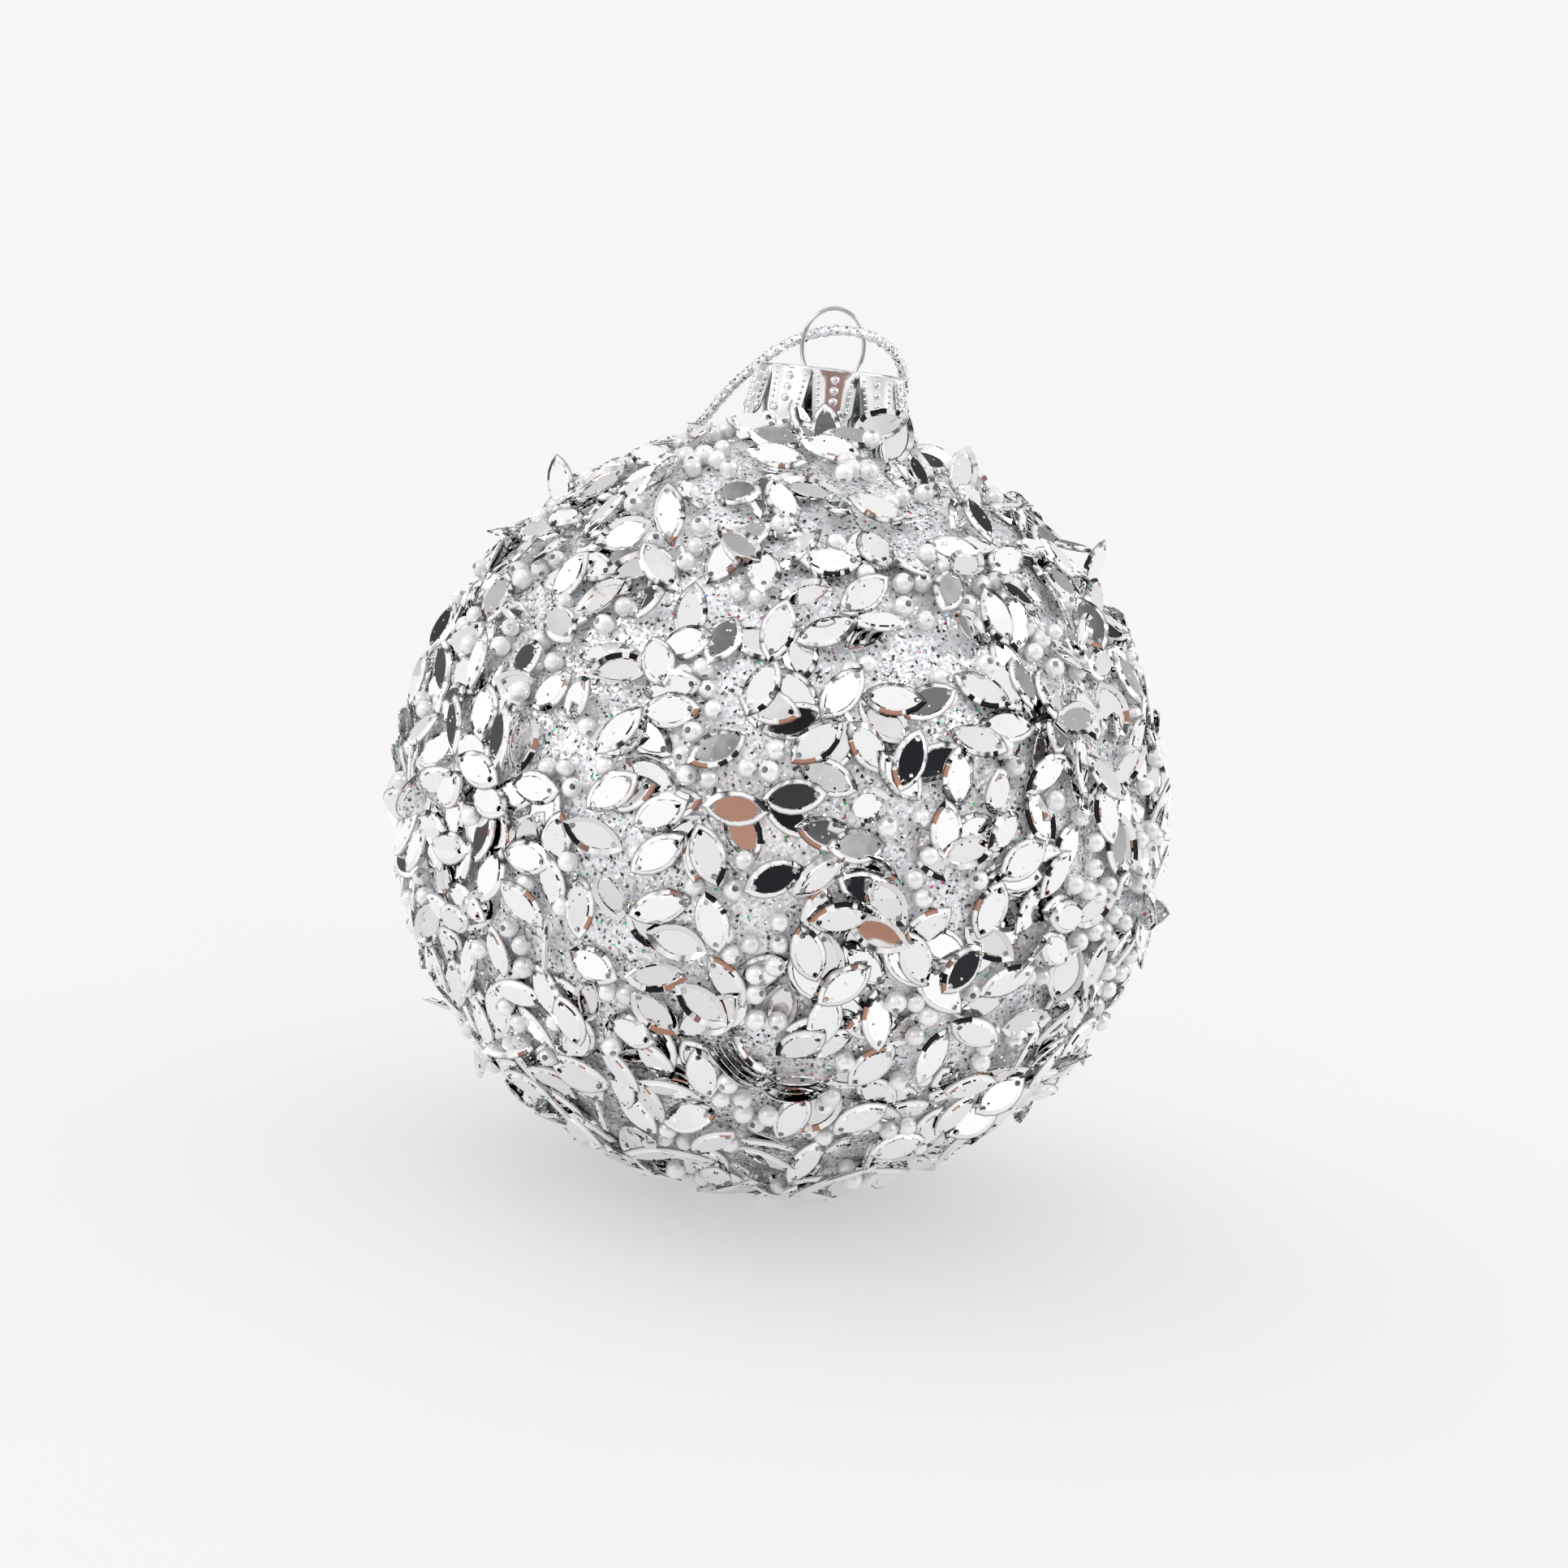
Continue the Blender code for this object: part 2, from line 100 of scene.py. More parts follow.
# %% Camera
CAMERA_DISTANCE = 0.343
CAMERA_ELEVATION = radians(9.2)
CAMERA_ROLL = radians(6.5)
SENSOR_MM = 36.0
LENS_MM = 56.3
AIM_ABOVE = radians(0.55)          # the ball's middle sits this far under the aim
AIM_RIGHT = radians(0.08)

outward = Vector((0.0, -cos(CAMERA_ELEVATION), sin(CAMERA_ELEVATION)))
level_right = Vector((1.0, 0.0, 0.0))
level_up = outward.cross(level_right)
view_right = level_right * cos(CAMERA_ROLL) + level_up * sin(CAMERA_ROLL)
view_up = level_up * cos(CAMERA_ROLL) - level_right * sin(CAMERA_ROLL)
forward = (-outward + view_right * tan(AIM_RIGHT) + view_up * tan(AIM_ABOVE)).normalized()
view_right = forward.cross(view_up).normalized()
view_up = view_right.cross(forward)

camera_data = bpy.data.cameras.new("camera")
camera_data.lens = LENS_MM
camera_data.sensor_width = SENSOR_MM
camera_data.clip_start = 0.01
camera = bpy.data.objects.new("camera", camera_data)
camera_turn = Matrix((view_right, view_up, -forward)).transposed().to_4x4()
camera.matrix_world = Matrix.Translation(BALL_CENTRE + outward * CAMERA_DISTANCE) @ camera_turn
bpy.context.scene.collection.objects.link(camera)
bpy.context.scene.camera = camera
print("camera at", tuple(round(v, 3) for v in camera.location))

# %% [markdown]
# ## Small helpers
#
# Every piece is a mesh whose object stays at the origin. `make_piece` links it,
# gives it its material, and says which body it rides on.

# %% Helpers for pieces
def new_object(name, data):
    item = bpy.data.objects.new(name, data)
    bpy.context.scene.collection.objects.link(item)
    return item


def axes_turn(x_axis, y_axis, z_axis):
    """The turn that brings X, Y and Z onto three given directions."""
    return Matrix((x_axis, y_axis, z_axis)).transposed().to_4x4()


def make_piece(name, mesh, material, body):
    """Link a finished mesh as a piece that rides on a body."""
    item = new_object(name, mesh)
    mesh.materials.clear()
    mesh.materials.append(material)
    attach(item, body)
    print(f"{name}: {len(mesh.polygons)} faces")
    return item


def keep_mesh(bm, name, smooth_angle=None):
    """The finished mesh; edges over the angle (degrees) stay sharp."""
    mesh = bpy.data.meshes.new(name)
    bm.to_mesh(mesh)
    bm.free()
    if smooth_angle is not None:
        mesh.shade_smooth()
        mesh.set_sharp_from_angle(angle=radians(smooth_angle))
    return mesh


def mesh_from(bm, name, smooth_angle=None):
    """Merge doubles, turn the faces outwards and keep the result as a mesh."""
    bmesh.ops.remove_doubles(bm, verts=bm.verts, dist=0.001 * MM)
    bmesh.ops.recalc_face_normals(bm, faces=bm.faces)
    return keep_mesh(bm, name, smooth_angle)


def copies(name, prototype, places, tones, smooth_angle=None):
    """One mesh of many copies, each with its own tone between 0 and 1."""
    stencil = prototype.copy()
    tone = stencil.attributes.new("tone", "FLOAT", "POINT")
    rest = np.empty(len(stencil.vertices) * 3, np.float32)
    stencil.vertices.foreach_get("co", rest)
    bm = bmesh.new()
    for place, value in zip(places, tones):
        stencil.vertices.foreach_set("co", rest)
        stencil.transform(place)
        tone.data.foreach_set("value", np.full(len(rest) // 3, value, np.float32))
        bm.from_mesh(stencil)
    bpy.data.meshes.remove(stencil)
    return keep_mesh(bm, name, smooth_angle)


def add_round(bm, mesh, count, base):
    """Add copies of a mesh in a ring round Z, then move them by a base matrix."""
    for index in range(count):
        start = len(bm.verts)
        bm.from_mesh(mesh)
        bm.verts.ensure_lookup_table()
        turn = base @ Matrix.Rotation(2.0 * pi * index / count, 4, "Z")
        bmesh.ops.transform(bm, matrix=turn, verts=bm.verts[start:])


# %% [markdown]
# ## Node helpers
#
# A material is a small graph. `add_node` makes a node and sets its sockets, and
# the short functions after it name the few things that every finish here is made
# of: a ramp, a mix, a stretched value, a bump, and noise or cells that are fixed
# to the piece by its Object coordinates.

# %% Helpers for nodes
def add_node(tree, kind, inputs=None, **settings):
    node = tree.nodes.new(kind)
    for key, value in settings.items():
        setattr(node, key, value)
    for key, value in (inputs or {}).items():
        if isinstance(value, bpy.types.NodeSocket):
            tree.links.new(value, node.inputs[key])
        else:
            node.inputs[key].default_value = value
    return node


def add_ramp(tree, factor, stops, interpolation="LINEAR"):
    """A colour ramp with (position, grey or colour) stops."""
    node = add_node(tree, "ShaderNodeValToRGB", {"Fac": factor})
    node.color_ramp.interpolation = interpolation
    ramp = node.color_ramp.elements
    while len(ramp) < len(stops):
        ramp.new(0.5)
    for element, (position, colour) in zip(ramp, stops):
        element.position = position
        if isinstance(colour, float):
            colour = (colour, colour, colour)
        element.color = (*colour, 1.0)
    return node.outputs["Color"]


def mix(tree, factor, a, b, blend_type="MIX"):
    node = add_node(tree, "ShaderNodeMix", {"Factor": factor, "A": a, "B": b},
                    data_type="RGBA", blend_type=blend_type)
    return node.outputs["Result"]


def stretch(tree, value, low, high):
    """A value from 0 to 1, stretched to run from low to high."""
    node = add_node(tree, "ShaderNodeMapRange", {"Value": value, "To Min": low, "To Max": high})
    return node.outputs["Result"]


def bump(tree, height, strength, distance):
    node = add_node(tree, "ShaderNodeBump", {
        "Height": height, "Strength": strength, "Distance": distance})
    return node.outputs["Normal"]


def sum_node(tree, kind, operation, **inputs):
    """One step of arithmetic: kind is Math or VectorMath, inputs a, b and scale."""
    sockets = {{"a": 0, "b": 1, "scale": "Scale"}[key]: value for key, value in inputs.items()}
    return add_node(tree, "ShaderNode" + kind, sockets, operation=operation).outputs[0]


def attribute(tree, name):
    return add_node(tree, "ShaderNodeAttribute", attribute_name=name).outputs["Fac"]


def noise_on(tree, scale, detail):
    coords = add_node(tree, "ShaderNodeTexCoord")
    field = add_node(tree, "ShaderNodeTexNoise", {
        "Vector": coords.outputs["Object"], "Scale": scale, "Detail": detail})
    return field.outputs["Fac"]


def cells_on(tree, scale):
    """Voronoi cells, and the three channels of each cell's random colour."""
    coords = add_node(tree, "ShaderNodeTexCoord")
    cells = add_node(tree, "ShaderNodeTexVoronoi", {
        "Vector": coords.outputs["Object"], "Scale": scale})
    channels = add_node(tree, "ShaderNodeSeparateColor", {"Color": cells.outputs["Color"]})
    return cells, channels


def start_material(name, **sockets):
    """A new material and its Principled shader, with plain numbers on its sockets."""
    material = bpy.data.materials.new(name)
    material.use_nodes = True
    tree = material.node_tree
    shader = tree.nodes["Principled BSDF"]
    for key, value in sockets.items():
        shader.inputs[key.replace("_", " ").title().replace("Ior", "IOR")].default_value = value
    return material, tree, shader


def feed(tree, target, **values):
    """Link outputs to the sockets of a shader or of a group's output."""
    for key, value in values.items():
        tree.links.new(value, target.inputs[key.replace("_", " ").title()])


def new_group(name, inputs, outputs):
    """An empty shader node group with named sockets."""
    group = bpy.data.node_groups.new(name, "ShaderNodeTree")
    for label, kind, value in inputs:
        socket = group.interface.new_socket(label, in_out="INPUT", socket_type=kind)
        if value is not None:
            socket.default_value = value
    for label, kind in outputs:
        group.interface.new_socket(label, in_out="OUTPUT", socket_type=kind)
    return group, group.nodes.new("NodeGroupInput"), group.nodes.new("NodeGroupOutput")


def place_group(tree, group, **inputs):
    node = tree.nodes.new("ShaderNodeGroup")
    node.node_tree = group
    for key, value in inputs.items():
        socket = node.inputs[key.replace("_", " ")]
        if isinstance(value, bpy.types.NodeSocket):
            tree.links.new(value, socket)
        else:
            socket.default_value = value
    return node


# %% [markdown]
# ## Glitter as a node group
#
# Glitter is thousands of tiny mirrors, each at its own angle. A Voronoi texture
# cuts space into cells, and each cell's random colour does three jobs: it tips
# the normal, so that neighbouring flakes reflect different parts of the room, it
# picks the flake's brightness, and now and then it picks a coloured flake.

# %% Glitter group
VALUE, VECTOR, COLOUR = "NodeSocketFloat", "NodeSocketVector", "NodeSocketColor"

glitter, glitter_in, glitter_out = new_group(
    "glitter_flakes",
    [("Flake Scale", VALUE, 4000.0), ("Tilt", VALUE, 0.5)],
    [("Colour", COLOUR), ("Roughness", VALUE), ("Normal", VECTOR)],
)
cells, channels = cells_on(glitter, glitter_in.outputs["Flake Scale"])
shade = add_ramp(glitter, channels.outputs["Red"], [
    (0.0, 0.04), (0.05, 0.12), (0.08, 0.58), (0.20, 0.88), (0.32, 1.0), (1.0, 1.0)])
tint = add_ramp(glitter, channels.outputs["Green"], [
    (0.0, (0.92, 0.94, 0.98)), (0.40, (1.0, 1.0, 1.0)), (0.990, (0.10, 0.70, 0.25)),
    (0.994, (0.70, 0.10, 0.35)), (0.997, (0.15, 0.30, 0.80))], "CONSTANT")
centred = sum_node(glitter, "VectorMath", "SUBTRACT", a=cells.outputs["Color"], b=(0.5, 0.5, 0.5))
tipped = sum_node(glitter, "VectorMath", "SCALE", a=centred, scale=glitter_in.outputs["Tilt"])
surface = add_node(glitter, "ShaderNodeNewGeometry")
summed = sum_node(glitter, "VectorMath", "ADD", a=tipped, b=surface.outputs["Normal"])
feed(glitter, glitter_out,
     colour=mix(glitter, 1.0, shade, tint, "MULTIPLY"),
     roughness=stretch(glitter, channels.outputs["Blue"], 0.12, 0.50),
     normal=sum_node(glitter, "VectorMath", "NORMALIZE", a=summed))
print("group:", glitter.name)

# %% [markdown]
# ## Specks as a node group
#
# Loose glitter and dots of dried glue end up on everything. The group gives a
# mask of small round dots: a cell is dotted only if its random value is high
# enough, and the dot is where the distance to the cell's point is small.

# %% Speck group
specks, specks_in, specks_out = new_group(
    "stray_specks",
    [("Speck Scale", VALUE, 900.0), ("Size", VALUE, 0.16), ("Amount", VALUE, 0.3)],
    [("Mask", VALUE), ("Shade", COLOUR)],
)
dots, chance = cells_on(specks, specks_in.outputs["Speck Scale"])
near = sum_node(specks, "Math", "LESS_THAN", a=dots.outputs["Distance"],
                b=specks_in.outputs["Size"])
picked = sum_node(specks, "Math", "LESS_THAN", a=chance.outputs["Red"],
                  b=specks_in.outputs["Amount"])
both = sum_node(specks, "Math", "MULTIPLY", a=near, b=picked)
speck_shade = add_ramp(specks, chance.outputs["Green"], [
    (0.0, 0.06), (0.25, 0.30), (0.45, 0.75), (0.7, 0.92), (0.985, (0.10, 0.60, 0.25))],
    "CONSTANT")
feed(specks, specks_out, mask=both, shade=speck_shade)
print("group:", specks.name)

# %% [markdown]
# ## Finishes
#
# The film of a sequin is a clean mirror, so nearly all of its look comes from
# what it reflects. A slow ripple bends those reflections a little, its tone
# attribute makes one sequin brighter than the next, and specks break it up.

# %% Mirror film
def mirror_film():
    material, tree, shader = start_material("mirror_film", metallic=1.0)
    silver = add_ramp(tree, attribute(tree, "tone"), [
        (0.0, (0.85, 0.85, 0.85)), (0.35, (0.94, 0.94, 0.94)), (1.0, (0.98, 0.98, 0.98))])
    film = mix(tree, attribute(tree, "underside"), silver, (0.80, 0.79, 0.78, 1.0))
    # Painted reflection: the film is darkened near its outline, a painted dark line standing in
    # for what the sequin's edge reflects.
    edge_shade = add_ramp(tree, attribute(tree, "painted_edge_shade"), [(0.55, 1.0), (1.0, (0.20, 0.19, 0.18))])
    film_with_edge_shade = mix(tree, 1.0, film, edge_shade, "MULTIPLY")
    stray = place_group(tree, specks, Speck_Scale=1000.0, Size=0.17, Amount=0.36)
    feed(tree, shader,
         base_color=mix(tree, stray.outputs["Mask"], film_with_edge_shade, stray.outputs["Shade"]),
         roughness=stretch(tree, stray.outputs["Mask"], 0.035, 0.45),
         normal=bump(tree, noise_on(tree, 260.0, 1.5), 0.20, 0.10 * MM))
    return material


def glitter_finish(name, scale, tilt, metallic):
    """Glitter in glue, for the coat, the cord and the knot."""
    material, tree, shader = start_material(name, metallic=metallic)
    flakes = place_group(tree, glitter, Flake_Scale=scale, Tilt=tilt)
    feed(tree, shader, base_color=flakes.outputs["Colour"],
         roughness=flakes.outputs["Roughness"], normal=flakes.outputs["Normal"])
    return material


def flake_foil():
    """The foil of the loose flakes: mostly silver, a few dark or coloured."""
    material, tree, shader = start_material("flake_foil", metallic=1.0, roughness=0.16)
    foil = add_ramp(tree, attribute(tree, "tone"), [
        (0.0, 0.05), (0.07, 0.50), (0.22, 0.86), (0.45, 1.0),
        (0.988, (0.12, 0.62, 0.25)), (0.992, (0.72, 0.10, 0.32)),
        (0.996, (0.12, 0.28, 0.80))], "CONSTANT")
    feed(tree, shader, base_color=foil)
    return material


# %% [markdown]
# An imitation pearl is a white bead under a pearly lacquer: a soft body colour
# that changes slightly from bead to bead, a low sheen under a clear coat, and
# some grains of glitter stuck to it.

# %% Pearl, glass, glue
def pearl_lacquer():
    material, tree, shader = start_material(
        "pearl_lacquer", metallic=0.30, coat_weight=1.0, coat_roughness=0.05, coat_ior=1.7)
    body = add_ramp(tree, attribute(tree, "tone"), [
        (0.0, (0.76, 0.75, 0.74)), (0.4, (0.87, 0.865, 0.86)), (1.0, (0.95, 0.95, 0.945))])
    stray = place_group(tree, specks, Speck_Scale=1900.0, Size=0.20, Amount=0.08)
    feed(tree, shader,
         base_color=mix(tree, stray.outputs["Mask"], body, stray.outputs["Shade"]),
         roughness=stretch(tree, noise_on(tree, 900.0, 2.0), 0.22, 0.38))
    return material


def clear_finish(name, colour, ior, bump_scale):
    """Clear glass or dried glue, with a faint unevenness."""
    material, tree, shader = start_material(
        name, metallic=0.0, roughness=0.03, transmission_weight=1.0, ior=ior)
    shader.inputs["Base Color"].default_value = (*colour, 1.0)
    feed(tree, shader, normal=bump(tree, noise_on(tree, bump_scale, 1.0), 0.2, 0.05 * MM))
    return material


# %% [markdown]
# The cap is thin plated sheet and the ring is drawn wire. Both are metal with a
# fine grain: the cap's reflections wander a little where the stamping pulled the
# sheet, and the wire is a shade darker.

# %% Plated metal
def plated_metal(name, dark, light, roughness, ripple_scale, ripple):
    material, tree, shader = start_material(name, metallic=1.0)
    cloud = noise_on(tree, ripple_scale, 3.0)
    feed(tree, shader,
         base_color=add_ramp(tree, cloud, [(0.3, dark), (0.65, light)]),
         roughness=stretch(tree, cloud, 0.7 * roughness, 1.5 * roughness),
         normal=bump(tree, cloud, ripple, 0.05 * MM))
    return material


FILM = mirror_film()
COAT_GLITTER = glitter_finish("silver_glitter", 2700.0, 0.70, 0.45)
CORD_TINSEL = glitter_finish("cord_tinsel", 3300.0, 0.9, 0.8)
FOIL = flake_foil()
PEARL = pearl_lacquer()
GLASS = clear_finish("clear_glass", (0.82, 0.85, 0.86), 1.5, 60.0)
GLUE = clear_finish("dried_glue", (0.98, 0.98, 0.97), 1.46, 700.0)
CAP_PLATE = plated_metal("cap_plate", (0.74, 0.74, 0.75), (0.92, 0.92, 0.93), 0.11, 220.0, 0.35)
WIRE_STEEL = plated_metal("wire_steel", (0.42, 0.43, 0.45), (0.66, 0.67, 0.69), 0.20, 500.0, 0.2)
print("materials:", len(bpy.data.materials))

# %% [markdown]
# ## The cord
#
# The cord comes first, because its route is settled: from the knot behind the
# ball, up over the sequins, through the ring and down to the knot again. It is a
# two-ply tinsel cord, so its section is a figure of eight that turns along its
# length. A plain tube along the route is pushed in and out by that rule, and by
# a random step for each little fold of foil.

# %% Route of the cord
CORD_DIAMETER = 1.5 * MM
CORD_ROUTE = [                     # from the ball's centre, knot to ring to knot
    (0.0034, 0.0530, 0.0135), (0.0027, 0.0518, 0.0170), (0.0008, 0.0493, 0.0235),
    (-0.0048, 0.0442, 0.0317), (-0.0122, 0.0366, 0.0387),
    (-0.0178, 0.0263, 0.0444), (-0.0193, 0.0205, 0.0472), (-0.0184, 0.0152, 0.0502),
    (-0.0160, 0.0114, 0.0536), (-0.0134, 0.0088, 0.0571), (-0.0108, 0.0066, 0.0599),
    (-0.0083, 0.0048, 0.0622), (-0.0058, 0.0032, 0.0639), (-0.0029, 0.0015, 0.0653),
    (0.0002, 0.0000, 0.0661), (0.0040, -0.0014, 0.0660), (0.0078, 0.0006, 0.0645),
    (0.0100, 0.0044, 0.0615), (0.0106, 0.0080, 0.0574), (0.0120, 0.0120, 0.0535),
    (0.0138, 0.0165, 0.0503), (0.0150, 0.0250, 0.0462), (0.0138, 0.0347, 0.0398),
    (0.0112, 0.0428, 0.0320), (0.0077, 0.0486, 0.0236), (0.0060, 0.0516, 0.0170),
    (0.0058, 0.0529, 0.0135),
]
CORD_STEP = 0.28 * MM


def smooth_path(route, step):
    """Points one step apart on a Catmull-Rom curve through the route."""
    fine = []
    ends = [route[0] * 2.0 - route[1]] + route + [route[-1] * 2.0 - route[-2]]
    for a, b, c, d in zip(ends, ends[1:], ends[2:], ends[3:]):
        for part in (i / 30.0 for i in range(30)):
            fine.append(0.5 * (
                2.0 * b + (c - a) * part + (2.0 * a - 5.0 * b + 4.0 * c - d) * part ** 2
                + (3.0 * b - a - 3.0 * c + d) * part ** 3))
    fine.append(route[-1])
    total = sum((q - p).length for p, q in zip(fine, fine[1:]))
    count = max(2, round(total / step))
    points = [fine[0]]
    walked = 0.0
    for p, q in zip(fine, fine[1:]):
        span = (q - p).length
        while len(points) < count and walked + span >= total * len(points) / count:
            points.append(p.lerp(q, (total * len(points) / count - walked) / span))
        walked += span
    points.append(fine[-1])
    return points, total


cord_points, cord_length = smooth_path([Vector(p) + BALL_CENTRE for p in CORD_ROUTE], CORD_STEP)
print("cord length", round(cord_length, 4), "m, points", len(cord_points))

# %% Twisted tinsel
PLY_TURN = 3.4 * MM                # one full turn of the two plies


def tube_mesh(name, points, radius, sides):
    """A curve with a round bevel and closed ends, turned into a welded mesh."""
    curve = bpy.data.curves.new(name, "CURVE")
    curve.dimensions = "3D"
    curve.bevel_depth = radius
    curve.bevel_resolution = sides
    curve.use_fill_caps = True
    spline = curve.splines.new("POLY")
    spline.points.add(len(points) - 1)
    for spot, place in zip(spline.points, points):
        spot.co = (*place, 1.0)
    holder = new_object(name, curve)
    view = bpy.context.evaluated_depsgraph_get()
    mesh = bpy.data.meshes.new_from_object(holder.evaluated_get(view))
    bpy.data.objects.remove(holder, do_unlink=True)
    bm = bmesh.new()
    bm.from_mesh(mesh)
    bpy.data.meshes.remove(mesh)
    bmesh.ops.remove_doubles(bm, verts=bm.verts, dist=0.002 * MM)
    return bm


def twist_plies(bm, points, step, radius, fold, dice):
    """Push a tube's surface into two twisted plies with small random folds."""
    tree = KDTree(len(points))
    for index, point in enumerate(points):
        tree.insert(point, index)
    tree.balance()
    frames = [Vector((0.0, 0.0, 1.0))]
    for before, after in zip(points, points[1:]):
        along = (after - before).normalized()
        side = frames[-1] - along * frames[-1].dot(along)
        frames.append(side.normalized())
    for vert in bm.verts:
        spot, index, _ = tree.find(vert.co)
        low = max(index - 1, 0)
        high = min(index + 1, len(points) - 1)
        along = (points[high] - points[low]).normalized()
        out = vert.co - spot
        out -= along * out.dot(along)
        side = frames[index] - along * frames[index].dot(along)
        turn = atan2(out.dot(along.cross(side)), out.dot(side))
        lobe = abs(cos(turn - 2.0 * pi * index * step / PLY_TURN))
        grow = 0.60 + 0.38 * lobe ** 0.7 + dice.uniform(-fold, fold)
        if out.length > 0.3 * radius:
            vert.co = spot + out.normalized() * radius * grow


cord_dice = random.Random(11)
bm = tube_mesh("hanging_cord_tinsel", cord_points, CORD_DIAMETER / 2.0, 5)
twist_plies(bm, cord_points, CORD_STEP, CORD_DIAMETER / 2.0, 0.10, cord_dice)
cord = make_piece("tinsel_cord", mesh_from(bm, "tinsel_cord"), CORD_TINSEL,
                  "hanger")
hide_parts("hanging_cord")

# %% [markdown]
# ## The knot
#
# The two ends are tied in one overhand knot. A trefoil curve is exactly that
# knot, so the piece is a tube along a squashed trefoil, with two short tails
# that hang from it.

# %% Overhand knot
KNOT_LOW, KNOT_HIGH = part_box("cord_knot")
KNOT_CENTRE = (KNOT_LOW + KNOT_HIGH) / 2.0
KNOT_THREAD = 0.50 * MM
KNOT_STEPS = 90
TAIL_STEPS = 14


def trefoil(turn):
    """A point on a trefoil that lies flat against the ball, one unit across."""
    across = sin(turn) + 2.0 * sin(2.0 * turn)
    up = cos(turn) - 2.0 * cos(2.0 * turn)
    return Vector((across, -sin(3.0 * turn), up)) / 6.0


knot_bm = bmesh.new()
knot_size = KNOT_HIGH - KNOT_LOW
knot_line = []
for step in range(KNOT_STEPS):
    spot = trefoil(2.0 * pi * (step + 0.5) / (KNOT_STEPS + 1))
    knot_line.append(KNOT_CENTRE + Vector((
        spot.x * knot_size.x, spot.y * 2.2 * knot_size.y, spot.z * knot_size.z)))
lines = [(knot_line, KNOT_THREAD)]
for side in (-1.0, 1.0):
    tail = []
    for step in range(TAIL_STEPS):
        part = step / (TAIL_STEPS - 1.0)
        tail.append(KNOT_CENTRE + Vector((
            side * (0.4 + 1.3 * part) * MM,
            (0.3 - 0.5 * part * part) * MM,
            (-1.0 - 5.0 * part) * MM)))
    lines.append((tail, 0.85 * KNOT_THREAD))
for line, radius in lines:
    strand = tube_mesh("strand", line, radius, 3)
    twist_plies(strand, line, (line[1] - line[0]).length, radius, 0.10, cord_dice)
    knot_bm.from_mesh(mesh_from(strand, "strand"))
knot = make_piece("tinsel_knot", mesh_from(knot_bm, "tinsel_knot"), CORD_TINSEL,
                  "hanger")
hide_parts("cord_knot")

# %% [markdown]
# ## The glass and its coat
#
# The glass shows only through the gaps between the cap's tabs, and its packed
# shape is right, so it keeps its node and gets a clear glass finish. The coat is
# turned: an arc from the neck to the south pole is spun round, then pushed in and
# out by two sizes of noise, because glue never lies evenly, and given its wall.

# %% Glass
glass = frame["nodes"]["glass_ball"]
glass.data.materials.clear()
glass.data.materials.append(GLASS)

# %% Glitter coat
COAT_OPENING = radians(13.5)
COAT_WALL = 0.9 * MM
ARC_STEPS = 120
TURN_STEPS = 240

bm = bmesh.new()
arc = []
for step in range(ARC_STEPS + 1):
    polar = COAT_OPENING + (pi - COAT_OPENING) * step / ARC_STEPS
    arc.append(bm.verts.new((COAT_RADIUS * sin(polar), 0.0, COAT_RADIUS * cos(polar))))
arc[-1].co.x = 0.0
for upper, lower in zip(arc, arc[1:]):
    bm.edges.new((upper, lower))
bmesh.ops.spin(bm, geom=bm.verts[:] + bm.edges[:], cent=(0, 0, 0), axis=(0, 0, 1),
               angle=2.0 * pi, steps=TURN_STEPS, use_merge=True)
bmesh.ops.remove_doubles(bm, verts=bm.verts, dist=0.01 * MM)
for vert in bm.verts:
    out = vert.co.normalized()
    lump = 0.16 * noise.noise(out * 9.0) + 0.07 * noise.noise(out * 42.0)
    vert.co += out * (lump - 0.10) * MM
bmesh.ops.recalc_face_normals(bm, faces=bm.faces)
bmesh.ops.translate(bm, verts=bm.verts, vec=BALL_CENTRE)
coat_mesh = keep_mesh(bm, "coat_of_glitter")
coat_mesh.shade_smooth()
coat = make_piece("coat_of_glitter", coat_mesh, COAT_GLITTER, "ball")
coat_wall = coat.modifiers.new("wall", "SOLIDIFY")
coat_wall.thickness = COAT_WALL
coat_wall.offset = -1.0
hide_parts("glitter_coat")

# %% [markdown]
# ## One sequin
#
# A sequin is pressed from film: a boat-shaped outline of two arcs, a flat table
# with a crease round it and a sloping rim. Three outlines are bridged, the table
# is filled, the film gets its thickness, and two holes are punched with a
# Boolean. It stays at 90 faces, because it is going to be copied more than a
# thousand times.

# %% Sequin prototype
SEQUIN_LENGTH = 8.1 * MM
SEQUIN_WIDTH = 4.4 * MM
TABLE_LENGTH = 6.3 * MM
TABLE_WIDTH = 3.0 * MM
CUP = 0.52 * MM
FILM_THICKNESS = 0.16 * MM
HOLE_X = 2.75 * MM
HOLE_RADIUS = 0.40 * MM
PAINTED_EDGE_WIDTH = 0.06 * MM               # how far in from the outline the film is painted dark: a painted dark outline standing in for the dark reflections at the film's edge
OUTLINE_STEPS = 7


def arc_radius(length, width):
    """Radius of the two arcs that make a boat of this length and width."""
    return (length ** 2 + width ** 2) / (4.0 * width)


OUTLINE_BOW = arc_radius(SEQUIN_LENGTH, SEQUIN_WIDTH)
TABLE_BOW = arc_radius(TABLE_LENGTH, TABLE_WIDTH)


def boat_outline(length, width, steps):
    """Two arcs that meet in a point at each end, as (x, y) points."""
    bow = arc_radius(length, width)
    sweep = asin(length / (2.0 * bow))
    points = []
    for side in (1.0, -1.0):
        for step in range(steps):
            angle = sweep * (1.0 - 2.0 * step / steps)
            points.append((side * bow * sin(angle),
                           side * (bow * cos(angle) - bow + width / 2.0)))
    return points


def boat_half_width(x, bow, width):
    """Half of the boat's width at x; negative past its tips."""
    return np.sqrt(np.clip(bow ** 2 - x ** 2, 0.0, None)) - bow + width / 2.0


